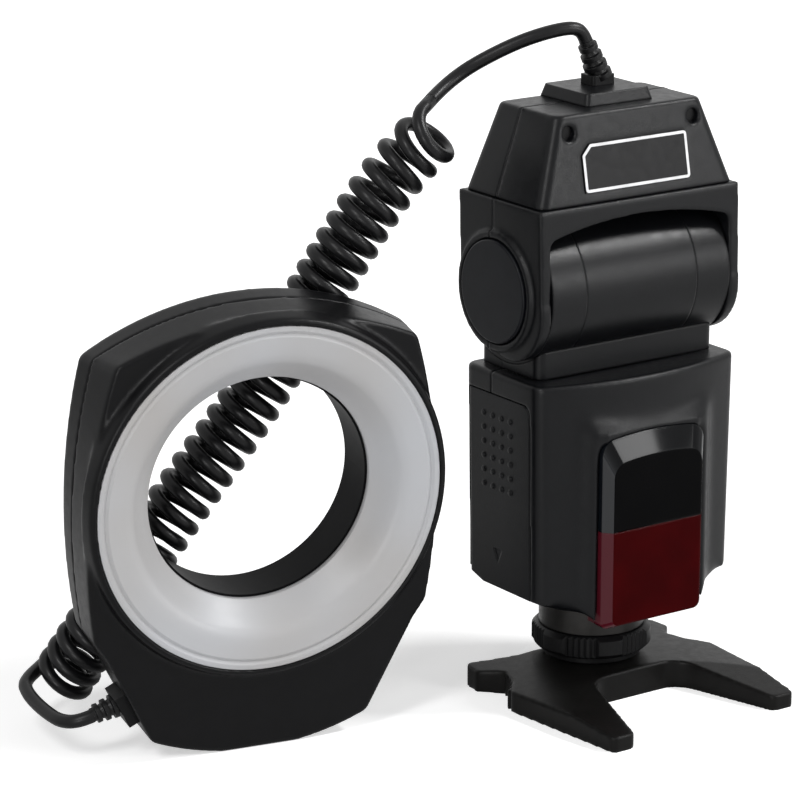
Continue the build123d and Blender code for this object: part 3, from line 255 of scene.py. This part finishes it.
def lens_plastic(name, face, edge, specular, polish):
    """A clear tinted window whose sloping, polished edges catch the light with a coat, and whose edge colour is
    lighter as a painted reflection.
    """
    material, tree, shader = new_material(name)
    split = add(tree, "ShaderNodeSeparateXYZ")
    join(tree, add(tree, "ShaderNodeTexCoord").outputs["Normal"], split, "Vector")
    front = calculate(tree, "ABSOLUTE", split.outputs["Y"])
    slope = rescale(tree, front, LENS_SLOPE_STARTS, LENS_SLOPE_FULL)
    join(tree, calculate(tree, "MULTIPLY", slope, polish), shader, "Coat Weight")
    # The sloping edges blend to the lighter edge colour, a painted reflection over the coat's real one.
    painted_reflection_mix = add(tree, "ShaderNodeMix", data_type="RGBA")
    join(tree, slope, painted_reflection_mix, "Factor")
    join(tree, ramp(tree, noise(tree, 60, 2), shade(face, 0.85), shade(face, 1.15)), painted_reflection_mix, "A")
    put(painted_reflection_mix, B=(*edge, 1))
    join(tree, painted_reflection_mix.outputs["Result"], shader, "Base Color")
    uneven_gloss(tree, shader, 240, 2, 0.05, 0.09)
    put(shader, Specular_IOR_Level=specular, Coat_Roughness=0.08)
    join(tree, round_edges(tree, LENS_EDGE), shader, "Normal")
    return material


def frosted(name, warm, cool):
    """Milky plastic, a little warmer and cooler from place to place."""
    material, tree, shader = new_material(name)
    tint = ramp(tree, noise(tree, 14, 2), warm, cool, *NOISE_SPAN)
    join(tree, tint, shader, "Base Color")
    uneven_gloss(tree, shader, 500, 3, 0.46, 0.54)
    put(shader, Specular_IOR_Level=0.5, Subsurface_Weight=0.2, Subsurface_Radius=(DIFFUSER_DEPTH,) * 3)
    put(shader, Coat_Weight=0.25, Coat_Roughness=0.34)
    bump(tree, shader, noise(tree, 3200, 4), 0.12, FINE_GRAIN_DEPTH, DIFFUSER_EDGE)
    return material


def board(name, dark, light):
    material, tree, shader = new_material(name)
    tint = ramp(tree, noise(tree, 700, 2), dark, light, 0.45, 0.55)
    join(tree, tint, shader, "Base Color")
    put(shader, Roughness=0.4)
    return material


def clear_glass(name, dark, light):
    material, tree, shader = new_material(name)
    tint = ramp(tree, noise(tree, 120, 2), dark, light)
    join(tree, tint, shader, "Base Color")
    put(shader, Roughness=0.05, Transmission_Weight=0.9)
    return material


# name, colour and roughness
UNIT = moulded("unit_plastic", (0.0022, 0.0024, 0.0030), 0.32, grain=0.75, scale=1900, specular=0.17, edge=0.9)
STAND = moulded("stand_plastic", (0.0044, 0.0042, 0.0040), 0.36, grain=0.6, scale=1900, specular=0.10, edge=0.9)
RING = moulded("ring_plastic", (0.0020, 0.0020, 0.0024), 0.32, grain=0.3, scale=3000, specular=0.13, edge=0.8)
CAP = moulded("cap_plastic", (0.0045, 0.0050, 0.0065), 0.34, grain=0.2, scale=3000, specular=0.14)
DARK = moulded("dark_plastic", (0.0035, 0.0035, 0.0038), 0.4, grain=0.25, specular=0.14, edge=0.3)
BUTTON = moulded("button_plastic", (0.05, 0.05, 0.053), 0.5, grain=0.2, specular=0.3, edge=0.4)
RUBBER = moulded(
    "rubber", (0.0040, 0.0040, 0.0044), 0.34, grain=0.2, scale=3400, specular=0.2, swing=0.2, edge=0.3,
)
LABEL = moulded("label_film", (0.0030, 0.0030, 0.0035), 0.34, grain=0.08, scale=3000, specular=0.12, edge=0.2)
PRINT = moulded("label_print", (0.66, 0.66, 0.67), 0.5, grain=0.1, scale=3000, specular=0.3, edge=0.0)
CELL = moulded("cell_jacket", (0.10, 0.10, 0.11), 0.35, grain=0.1)
TUBE = glossy("bore_black", (0.0030, 0.0030, 0.0034), 0.42, specular=0.04)
LAMP = glossy("lamp_lens", (0.45, 0.05, 0.02), 0.12)
STEEL = metal("steel", (0.55, 0.55, 0.56), 0.32)
LIGHT_METAL = metal("light_metal", (0.030, 0.029, 0.028), 0.36)
BRASS = metal("brass", (0.75, 0.56, 0.28), 0.3)
MIRROR = metal("reflector", (0.86, 0.86, 0.87), 0.15)

# name and the two colours that it varies between
DIFFUSER = frosted("diffuser", (0.332, 0.320, 0.312), (0.392, 0.402, 0.424))
BOARD = board("board", (0.02, 0.13, 0.05), (0.04, 0.22, 0.09))
GLASS = clear_glass("clear_glass", (0.9, 0.93, 0.95), (0.97, 0.98, 1.0))

# name, colour of the face and the lighter colour of the sloping edges, which is a painted reflection
BLACK_WINDOW = lens_plastic(
    "window_black", (0.0010, 0.0010, 0.0012), (0.004, 0.005, 0.007), specular=0.03, polish=0.9,
)
# The red window's pinkish edge colour is a painted reflection on its bevels.
RED_WINDOW = lens_plastic(
    "window_red", (0.030, 0.0002, 0.0006), (0.060, 0.005, 0.010), specular=0.02, polish=0.40,
)

FINISHES = {
    "stand_base": STAND, "stand_insert": BRASS, "foot_plate": STEEL, "foot_contacts": BRASS,
    "foot_block": LIGHT_METAL, "lock_ring": DARK, "body_front_shell": UNIT, "body_rear_shell": UNIT,
    "window_black": BLACK_WINDOW, "window_red": RED_WINDOW, "battery_door": UNIT, "door_pin": STEEL,
    "door_contacts": STEEL, "battery_cells": CELL, "battery_holder": DARK, "battery_contacts": STEEL,
    "flash_board": BOARD, "control_board": BOARD, "capacitor": DARK, "control_panel": DARK,
    "power_switch": BUTTON, "test_button": BUTTON, "mode_button": BUTTON, "plus_button": BUTTON,
    "minus_button": BUTTON, "level_lights": LAMP, "body_screws": STEEL, "neck_front": UNIT,
    "neck_rear": UNIT, "swivel_spigot": DARK, "swivel_retainer": STEEL, "drum_middle": UNIT,
    "drum_end_left": UNIT, "drum_end_right": UNIT, "pivot_shaft": STEEL, "yoke_front_shell": UNIT,
    "yoke_rear_shell": UNIT, "pivot_cap_left": CAP, "pivot_cap_right": CAP, "hood_front_shell": UNIT,
    "hood_rear_shell": UNIT, "label_plate": LABEL, "hood_screws": DARK, "cable_saddle": UNIT,
    "head_gland": DARK, "head_relief": RUBBER, "ring_front_housing": RING, "ring_rear_cover": RING,
    "ring_bezel": RING, "ring_diffuser": DIFFUSER, "ring_bore_tube": TUBE, "ring_reflector": MIRROR,
    "flash_tubes": GLASS, "ring_board": BOARD, "ring_screws": STEEL, "ring_gland": DARK,
    "ring_relief": RUBBER,
}

for node_name, node_material in FINISHES.items():
    nodes[node_name].data.materials.clear()
    nodes[node_name].data.materials.append(node_material)


# Shells whose moulded edges are rounded off

RING_CENTRE = (-0.118, -0.0032, 0.0787)
RING_TURN = Matrix.Rotation(math.radians(-11), 4, "Z")
RING_LEAN = Matrix.Rotation(math.radians(5), 4, "X")
RING_PLACE = Matrix.Translation(RING_CENTRE) @ RING_TURN @ RING_LEAN
RING_SEAM = 17.5
RING_SEAM_CLEAR = 0.6
BEZEL_SEAT = 53.0
BEZEL_BLEND = 0.6
REAR_BORE_RIM = 38.0
BODY_SEAM = 2.2
BODY_SEAM_CLEAR = 0.8
WINDOW_SIDE = 17.2
WINDOW_TOP = 87.6
WINDOW_DEPTH = 19.0
DOOR_TOP = 97.2
DOOR_FRONT = 17.2
DOOR_FRONT_SIDE = 35.2
DOOR_REAR = 16.0
DOOR_REAR_SIDE = 32.0
PANEL_SIDE = 22.0
PANEL_DEPTH = 14.0
SWELL_ROOT = 19.4
SWELL_SIDE = 33.5
SWELL_TOP = 98.5
SWELL_BLEND = 3
HOOD_SEAM = box_mm("hood_front_shell")[1][1]
HOOD_SEAM_CLEAR = 0.7
HOOD_BASE = box_mm("hood_front_shell")[0][2]
HOOD_BASE_CLEAR = 0.4
HOOD_BASE_BLEND = 0.5
RIBS_SIDE = 29
RIBS_FRONT = -12
RIBS_REAR = 3
RIBS_SHARE = 0.35
STAND_SOLE = 0.3
STAND_SOLE_BLEND = 0.5
WELD_DISTANCE = 0.000002


def far_from(values, plane, clear, blend=0.8):
    """0 within a distance of a plane, rising to 1 beyond it, so that a joint's edges stay crisp."""
    return np.clip((np.abs(values - plane) - clear) / blend, 0, 1)


def outside(values, limit, blend=0.8):
    """0 up to a limit, rising to 1 beyond it."""
    return np.clip((values - limit) / blend, 0, 1)


def body_front_soft(p):
    x, y, z = p.T
    window = np.maximum(outside(np.abs(x), WINDOW_SIDE), outside(z, WINDOW_TOP))
    window = np.maximum(window, outside(y, -WINDOW_DEPTH))
    door = np.maximum(outside(x, -DOOR_FRONT_SIDE), outside(-y, DOOR_FRONT))
    return far_from(y, BODY_SEAM, BODY_SEAM_CLEAR) * window * np.maximum(door, outside(z, DOOR_TOP))


def body_swell_soft(p):
    x, y, z = p.T
    across = outside(SWELL_SIDE - np.abs(x), 0, SWELL_BLEND)
    return outside(-y, SWELL_ROOT) * across * outside(SWELL_TOP - z, 0, SWELL_BLEND) * body_front_soft(p)


def body_rear_soft(p):
    x, y, z = p.T
    door = np.maximum(outside(x, -DOOR_REAR_SIDE), outside(y, DOOR_REAR))
    panel = np.maximum(outside(np.abs(x), PANEL_SIDE), outside(PANEL_DEPTH - y, 0))
    return far_from(y, BODY_SEAM, BODY_SEAM_CLEAR) * np.maximum(door, outside(z, DOOR_TOP)) * panel


def yoke_soft(p):
    return far_from(p[:, 1], HOOD_SEAM, HOOD_SEAM_CLEAR)


def hood_soft(p):
    return yoke_soft(p) * far_from(p[:, 2], HOOD_BASE, HOOD_BASE_CLEAR, HOOD_BASE_BLEND)


def ring_front_soft(p):
    x, depth, z = p.T
    return far_from(depth, RING_SEAM, RING_SEAM_CLEAR) * outside(np.hypot(x, z), BEZEL_SEAT, BEZEL_BLEND)


def ring_rear_soft(p):
    x, depth, z = p.T
    return far_from(depth, RING_SEAM, RING_SEAM_CLEAR) * outside(np.hypot(x, z), REAR_BORE_RIM)


def stand_soft(p):
    x, y, z = p.T
    ribs = (np.abs(x) > RIBS_SIDE) & (y > RIBS_FRONT) & (y < RIBS_REAR)
    return np.where(ribs, RIBS_SHARE, 1.0) * outside(z, STAND_SOLE, STAND_SOLE_BLEND)


def joined_mesh(names):
    """One mesh of several nodes, whose own meshes stay as they are."""
    mesh = bmesh.new()
    for name in names:
        mesh.from_mesh(nodes[name].data)
    bmesh.ops.remove_doubles(mesh, verts=mesh.verts[:], dist=WELD_DISTANCE)
    data = bpy.data.meshes.new("joined")
    mesh.to_mesh(data)
    mesh.free()
    return data


def apply_modifiers(piece):
    """Puts what the modifiers make in place of the piece's mesh."""
    graph = bpy.context.evaluated_depsgraph_get()
    data = bpy.data.meshes.new_from_object(piece.evaluated_get(graph))
    piece.modifiers.clear()
    piece.vertex_groups.clear()
    piece.data = data


def smooth_rounds(piece, rule, rounds):
    """Rounds edges by averaging neighbours, as far as the rule lets each point move."""
    group = piece.vertex_groups.new(name="soft")
    points = np.empty(len(piece.data.vertices) * 3)
    piece.data.vertices.foreach_get("co", points)
    weights = np.round(rule(points.reshape(-1, 3) / MM), 2)
    for level in np.unique(weights):
        if level > 0:
            group.add(np.flatnonzero(weights == level).tolist(), float(level), "REPLACE")
    soften = piece.modifiers.new("soften", "SMOOTH")
    soften.factor = 0.5
    soften.iterations = rounds
    soften.vertex_group = group.name
    apply_modifiers(piece)


def soft_shell(name, sources, body, material, slot, voxel, stages, keep, place=Matrix()):
    """A fine remesh of the sources, made in place's own axes, with its edges rounded stage by stage."""
    piece = bpy.data.objects.new(name, joined_mesh(sources))
    bpy.context.scene.collection.objects.link(piece)
    piece.data.transform(place.inverted())
    remesh = piece.modifiers.new("remesh", "REMESH")
    remesh.mode = "VOXEL"
    remesh.voxel_size = voxel * MM
    remesh.use_smooth_shade = True
    apply_modifiers(piece)
    for rule, rounds in stages:
        smooth_rounds(piece, rule, rounds)
    thin = piece.modifiers.new("thin", "DECIMATE")
    thin.ratio = keep
    apply_modifiers(piece)
    piece.data.transform(place)
    for face in piece.data.polygons:
        face.use_smooth = True
    piece.modifiers.new("normals", "WEIGHTED_NORMAL")
    piece.data.materials.clear()
    piece.data.materials.append(material)
    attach(piece, body)
    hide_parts(*sources)


# name, nodes, body, material, slot, voxel, rounding stages, share of the faces kept, axes
SOFT_SHELLS = [
    ("body_front_moulding", ["body_front_shell"], "unit", UNIT, "unit_plastic",
     0.5, [(body_front_soft, 9), (body_swell_soft, 260)], 0.3),
    ("body_rear_moulding", ["body_rear_shell"], "unit", UNIT, "unit_plastic", 0.5, [(body_rear_soft, 9)], 0.3),
    ("hood_front_moulding", ["hood_front_shell"], "head", UNIT, "unit_plastic", 0.45, [(hood_soft, 22)], 0.3),
    ("hood_rear_moulding", ["hood_rear_shell"], "head", UNIT, "unit_plastic", 0.45, [(hood_soft, 22)], 0.3),
    ("yoke_front_moulding", ["yoke_front_shell"], "head", UNIT, "unit_plastic", 0.45, [(yoke_soft, 13)], 0.3),
    ("yoke_rear_moulding", ["yoke_rear_shell"], "head", UNIT, "unit_plastic", 0.45, [(yoke_soft, 13)], 0.3),
    ("ring_front_moulding", ["ring_front_housing", "ring_bezel"], "ring_head", RING, "ring_plastic",
     0.6, [(ring_front_soft, 22)], 0.3, RING_PLACE),
    ("ring_rear_moulding", ["ring_rear_cover"], "ring_head", RING, "ring_plastic",
     0.6, [(ring_rear_soft, 16)], 0.3, RING_PLACE),
    ("stand_moulding", ["stand_base"], "stand", STAND, "stand_plastic", 0.45, [(stand_soft, 6)], 0.35),
]
for shell in SOFT_SHELLS:
    soft_shell(*shell)


# Diffuser, turned from its profile

RIM_RADIUS = 52.4
DIFFUSER_WALL = 1.6
DIFFUSER_LIP = [(1.0, 0.29), (0.972, 0.29), (0.955, 0.98), (0.938, 0.39)]
DIFFUSER_FUNNEL = [
    (0.938, 0.39), (0.90, 0.60), (0.86, 0.85), (0.82, 1.30), (0.785, 2.20), (0.755, 3.70), (0.725, 5.50),
    (0.69, 7.65), (0.652, 9.75),
]
TURN_STEPS = 160
CRISP_ANGLE = 35


def smooth_profile(points, parts=5):
    """Points on a smooth line through the given ones."""
    rows = [points[0]] + points + [points[-1]]
    line = []
    for a, b, c, d in zip(rows, rows[1:], rows[2:], rows[3:]):
        for step in range(parts):
            s = step / parts
            line.append(tuple(
                (2 * q + (r - p) * s + (2 * p - 5 * q + 4 * r - w) * s * s + (3 * q - p - 3 * r + w) * s ** 3) / 2
                for p, q, r, w in zip(a, b, c, d)
            ))
    return line + [points[-1]]


def diffuser_lens():
    front = DIFFUSER_LIP[:-1] + smooth_profile(DIFFUSER_FUNNEL)
    back = [(share, depth + DIFFUSER_WALL) for share, depth in reversed(front)]
    profile = [(share * RIM_RADIUS, depth) for share, depth in front + back]
    mesh = bmesh.new()
    rings = []
    turns = [2 * math.pi * step / TURN_STEPS for step in range(TURN_STEPS)]
    for radius, depth in profile:
        spots = [(radius * math.cos(a) * MM, depth * MM, radius * math.sin(a) * MM) for a in turns]
        rings.append([mesh.verts.new(spot) for spot in spots])
    for a, b in zip(rings, rings[1:] + rings[:1]):
        for i in range(TURN_STEPS):
            j = (i + 1) % TURN_STEPS
            mesh.faces.new((a[i], a[j], b[j], b[i])).smooth = True
    bmesh.ops.recalc_face_normals(mesh, faces=mesh.faces[:])
    data = bpy.data.meshes.new("ring_diffuser_lens")
    mesh.to_mesh(data)
    mesh.free()
    data.transform(RING_PLACE)
    data.materials.append(DIFFUSER)
    piece = bpy.data.objects.new("ring_diffuser_lens", data)
    bpy.context.scene.collection.objects.link(piece)
    crisp = piece.modifiers.new("crisp", "EDGE_SPLIT")
    crisp.split_angle = math.radians(CRISP_ANGLE)
    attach(piece, "ring_head")
    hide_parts("ring_diffuser")


diffuser_lens()


# Cord

def route_points(points, steps=ROUTE_STEPS):
    """Points along the smooth line that a NURBS spline draws through a route."""
    curve = bpy.data.curves.new("route", "CURVE")
    curve.dimensions = "3D"
    curve.resolution_u = steps
    spline = curve.splines.new("NURBS")
    spline.points.add(len(points) - 1)
    for knot, point in zip(spline.points, points):
        knot.co = (*point, 1)
    spline.order_u = 3
    spline.use_endpoint_u = True
    holder = bpy.data.objects.new("route", curve)
    bpy.context.scene.collection.objects.link(holder)
    bpy.context.view_layer.update()
    mesh = bpy.data.meshes.new_from_object(holder)
    line = [vertex.co.copy() for vertex in mesh.vertices]
    bpy.data.meshes.remove(mesh)
    bpy.data.objects.remove(holder)
    bpy.data.curves.remove(curve)
    return line


def travelled(line):
    """How far along the line each of its points lies."""
    total = [0.0]
    for a, b in zip(line, line[1:]):
        total.append(total[-1] + (b - a).length)
    return total


def look_up(value, keys, rows):
    """The row that lies at a value between two keys, blended from theirs."""
    low, high = 0, len(keys) - 1
    while high - low > 1:
        middle = (low + high) // 2
        low, high = (middle, high) if keys[middle] <= value else (low, middle)
    share = (value - keys[low]) / (keys[high] - keys[low])
    return rows[low] + (rows[high] - rows[low]) * share


def axis_frames(line):
    """The line's direction and two directions across it, carried along from its far end."""
    last = len(line) - 1
    tangents = [(line[min(i + 1, last)] - line[max(i - 1, 0)]).normalized() for i in range(last + 1)]
    seconds = [None] * (last + 1)
    carried = VIEW_AWAY.copy()
    for i in range(last, -1, -1):
        carried = (carried - tangents[i] * carried.dot(tangents[i])).normalized()
        seconds[i] = carried
    firsts = [t.cross(e) for t, e in zip(tangents, seconds)]
    return tangents, firsts, seconds


def curl_places(steps, count):
    """How far along the coil each point of the curls lies, by the share each curl takes."""
    shares = CURL_PITCH_SHARES
    places = [0.0]
    last = len(shares) - 1
    for step in range(steps):
        where = (step + 0.5) / steps * last
        low = min(int(where), last - 1)
        pitch = shares[low] + (shares[low + 1] - shares[low]) * (where - low)
        places.append(places[-1] + 1 / pitch)
    keys = [place / places[-1] for place in places]
    rows = [step / steps for step in range(steps + 1)]
    return [look_up(index / count, keys, rows) for index in range(count + 1)]


def curl_line():
    """The curls' own points, turned round the smooth line of the coil's route."""
    line = route_points(COIL_ROUTE, COIL_STEPS)
    lengths = travelled(line)
    tangents, firsts, seconds = axis_frames(line)
    count = CURL_COUNT * STEPS_PER_CURL
    points = []
    for index, place in enumerate(curl_places(CURL_SPACING_STEPS, count)):
        along = place * lengths[-1]
        centre = look_up(along, lengths, line)
        turn = 2 * math.pi * (CURL_START_TURN + index / STEPS_PER_CURL)
        first, second = look_up(along, lengths, firsts), look_up(along, lengths, seconds)
        points.append(centre + (first * math.cos(turn) + second * math.sin(turn)) * CURL_RADIUS)
    return points


def cord_tube(name, line):
    """A round tube along a line of points, closed at both ends."""
    last = len(line) - 1
    tangents = [(line[min(i + 1, last)] - line[max(i - 1, 0)]).normalized() for i in range(last + 1)]
    side = tangents[0].orthogonal().normalized()
    mesh_points, faces = [], []
    for point, tangent in zip(line, tangents):
        side = (side - tangent * side.dot(tangent)).normalized()
        other = tangent.cross(side)
        for corner in range(CORD_SIDES):
            turn = 2 * math.pi * corner / CORD_SIDES
            mesh_points.append(point + (side * math.cos(turn) + other * math.sin(turn)) * CORD_DIAMETER / 2)
    for ring in range(last):
        for corner in range(CORD_SIDES):
            a = ring * CORD_SIDES + corner
            b = ring * CORD_SIDES + (corner + 1) % CORD_SIDES
            faces.append((a, b, b + CORD_SIDES, a + CORD_SIDES))
    faces.append(tuple(reversed(range(CORD_SIDES))))
    faces.append(tuple(range(last * CORD_SIDES, (last + 1) * CORD_SIDES)))
    mesh = bpy.data.meshes.new(name)
    mesh.from_pydata(mesh_points, [], faces)
    for face in mesh.polygons:
        face.use_smooth = True
    mesh.materials.append(RUBBER)
    piece = bpy.data.objects.new(name, mesh)
    bpy.context.scene.collection.objects.link(piece)
    return piece


curls = curl_line()
coil_start = (curls[1] - curls[0]).normalized()
coil_end = (curls[-1] - curls[-2]).normalized()
lead_end = curls[0] - coil_start * CORD_DIAMETER
tail_start = curls[-1] + coil_end * CORD_DIAMETER
lead_way = (RELIEF_TIP - RELIEF_ROOT).normalized()
lead_route = [RELIEF_TIP, RELIEF_TIP + lead_way * LEAD_FIRST_RUN]
lead_route += [Vector(point) for point in LEAD_ROUTE]
lead_route += [lead_end - coil_start * LEAD_LAST_RUN, lead_end]
tail_route = [tail_start, tail_start + coil_end * TAIL_FIRST_RUN]
tail_route += [Vector(point) for point in TAIL_ROUTE]
tail_route += [RING_RELIEF_TIP + RING_RELIEF_LEAD * TAIL_LAST_RUN, RING_RELIEF_TIP]

lead_line = route_points(lead_route)
tail_line = route_points(tail_route)
curly_line = [lead_end] + curls + tail_line

cord_lead = cord_tube("cord_lead", lead_line)
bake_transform(cord_lead)
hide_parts("lead_cord")

cord_curly = cord_tube("cord_curly", curly_line)
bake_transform(cord_curly)
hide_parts("curly_cord", "tail_cord")


# Printed outline on the label

LABEL_LEAN = 11.1
LABEL_THICKNESS = 0.6
LABEL_CHAMFER = 3.0
LABEL_INSET = 0.15
LABEL_LINE = 0.85
LABEL_INK = 0.06
LABEL_ROUND = 1.2
LABEL_LEAST_ROUND = 0.15
LABEL_CHAMFER_ROUND = 0.3
LABEL_STEPS = 5


def label_outline():
    low, high = box_mm("label_plate")
    lean = math.radians(LABEL_LEAN)
    out = Vector((0, -math.cos(lean), math.sin(lean)))
    up = Vector((0, math.sin(lean), math.cos(lean)))
    middle = Vector((0, low[1] + high[1], low[2] + high[2])) / 2
    centre = middle + out * LABEL_THICKNESS / 2
    half_width = high[0] - LABEL_INSET
    half_height = (high[2] - low[2]) / 2 / math.cos(lean)
    half_height -= LABEL_THICKNESS * math.tan(lean) / 2 + LABEL_INSET
    mesh = bmesh.new()

    def ring(shift, lift):
        """The rounded outline, drawn in by a shift and lifted off the plate."""
        w, h = half_width - shift, half_height - shift
        cut = LABEL_CHAMFER - shift * (2 - math.sqrt(2))
        corners = [(-w, -h), (w, -h), (w, h), (-w + cut, h), (-w, h - cut)]
        points = []
        for i, corner in enumerate(corners):
            before, here, after = (Vector(corners[(i + k) % len(corners)]) for k in (-1, 0, 1))
            radius = max(LABEL_ROUND - shift, LABEL_LEAST_ROUND) if i < 3 else LABEL_CHAMFER_ROUND
            start = here + (before - here).normalized() * radius
            end = here + (after - here).normalized() * radius
            for step in range(LABEL_STEPS + 1):
                s = step / LABEL_STEPS
                points.append(start * (1 - s) ** 2 + here * 2 * s * (1 - s) + end * s ** 2)
        return [mesh.verts.new((centre + Vector((q.x, 0, 0)) + up * q.y + out * lift) * MM) for q in points]

    rings = [ring(0, 0), ring(0, LABEL_INK), ring(LABEL_LINE, LABEL_INK), ring(LABEL_LINE, 0)]
    count = len(rings[0])
    for a, b in zip(rings, rings[1:] + rings[:1]):
        for i in range(count):
            j = (i + 1) % count
            mesh.faces.new((a[i], a[j], b[j], b[i]))
    bmesh.ops.recalc_face_normals(mesh, faces=mesh.faces[:])
    data = bpy.data.meshes.new("label_outline")
    mesh.to_mesh(data)
    mesh.free()
    data.materials.append(PRINT)
    piece = bpy.data.objects.new("label_outline", data)
    bpy.context.scene.collection.objects.link(piece)
    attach(piece, "head")


label_outline()


# Stage, lights and camera

FLOOR_REACH = 6.0
FLOOR_COLOUR = (0.93, 0.93, 0.93, 1)
GLOW_NEAR = 0.52
GLOW_FAR = 1.0
GLOW_RISE = (0.15, 0.80)
MIRRORED_GLOW = 0.2
WORLD_LIGHT = 0.2


def stage_material():
    """White to the eye, brighter away from the object, where it falls out of the light."""
    material, tree, shader = new_material("white_floor")
    put(shader, Base_Color=FLOOR_COLOUR, Roughness=0.9, Specular_IOR_Level=0.0)
    path = add(tree, "ShaderNodeLightPath").outputs
    clear = calculate(tree, "MAXIMUM", path["Is Camera Ray"], path["Is Transmission Ray"])
    mirrored = calculate(tree, "MULTIPLY", path["Is Glossy Ray"], MIRRORED_GLOW)
    seen = calculate(tree, "MAXIMUM", clear, mirrored)
    reach = add(tree, "ShaderNodeVectorMath", operation="LENGTH")
    join(tree, object_space(tree), reach, 0)
    far = rescale(tree, reach.outputs["Value"], *GLOW_RISE, GLOW_NEAR, GLOW_FAR)
    put(shader, Emission_Color=(1, 1, 1, 1))
    join(tree, calculate(tree, "MULTIPLY", seen, far), shader, "Emission Strength")
    return material


def make_stage():
    mesh = bpy.data.meshes.new("floor")
    corners = [(-1, -1), (1, -1), (1, 1), (-1, 1)]
    mesh.from_pydata([(x * FLOOR_REACH, y * FLOOR_REACH, 0) for x, y in corners], [], [(0, 1, 2, 3)])
    mesh.materials.append(stage_material())
    floor = bpy.data.objects.new("floor", mesh)
    bpy.context.scene.collection.objects.link(floor)


def make_world():
    world = bpy.data.worlds.new("studio")
    bpy.context.scene.world = world
    world.use_nodes = True
    tree = world.node_tree
    back = tree.nodes["Background"]
    put(back, Color=(1, 1, 1, 1))
    path = add(tree, "ShaderNodeLightPath").outputs
    seen = calculate(tree, "MAXIMUM", path["Is Camera Ray"], path["Is Glossy Ray"])
    seen = calculate(tree, "MAXIMUM", seen, path["Is Transmission Ray"])
    join(tree, rescale(tree, seen, 0.0, 1.0, WORLD_LIGHT, 1.0), back, "Strength")


def area_light(name, place, target, width, height, power):
    data = bpy.data.lights.new(name, "AREA")
    data.shape = "RECTANGLE"
    data.size = width
    data.size_y = height
    data.energy = power
    lamp = bpy.data.objects.new(name, data)
    lamp.location = place
    lamp.rotation_euler = (Vector(target) - Vector(place)).to_track_quat("-Z", "Y").to_euler()
    bpy.context.scene.collection.objects.link(lamp)


def make_camera():
    data = bpy.data.cameras.new("camera")
    data.sensor_width = SENSOR
    data.lens = FOCAL_PIXELS / IMAGE_SIZE * SENSOR
    data.clip_start = CLIP_START
    data.clip_end = CLIP_END
    camera = bpy.data.objects.new("camera", data)
    camera.location = CAMERA_PLACE
    camera.rotation_euler = (math.radians(CAMERA_TILT), 0, math.radians(CAMERA_TURN))
    bpy.context.scene.collection.objects.link(camera)
    bpy.context.scene.camera = camera


TARGET = (-0.05, 0.0, 0.1)
LIGHTS = [
    # name, direction from the target, distance, width, height, power
    ("key", (0.60, -0.40, 0.69), 1.15, 0.24, 0.16, 7.8),
    ("left", (-0.68, -0.36, 0.64), 1.10, 0.18, 0.40, 4.3),
    ("top", (0.506, -0.810, 0.296), 1.24, 0.34, 0.24, 3.6),
    ("fill", (0.60, -0.79, 0.12), 1.20, 0.50, 0.30, 1.6),
    ("low", (-0.76, -0.62, 0.06), 1.20, 0.16, 0.26, 3.4),
]


def make_lights():
    for name, way, distance, width, height, power in LIGHTS:
        place = Vector(TARGET) + Vector(way).normalized() * distance
        area_light(name, place, TARGET, width, height, power)


make_stage()
make_world()
make_lights()
make_camera()
bpy.context.scene.view_settings.view_transform = "Standard"
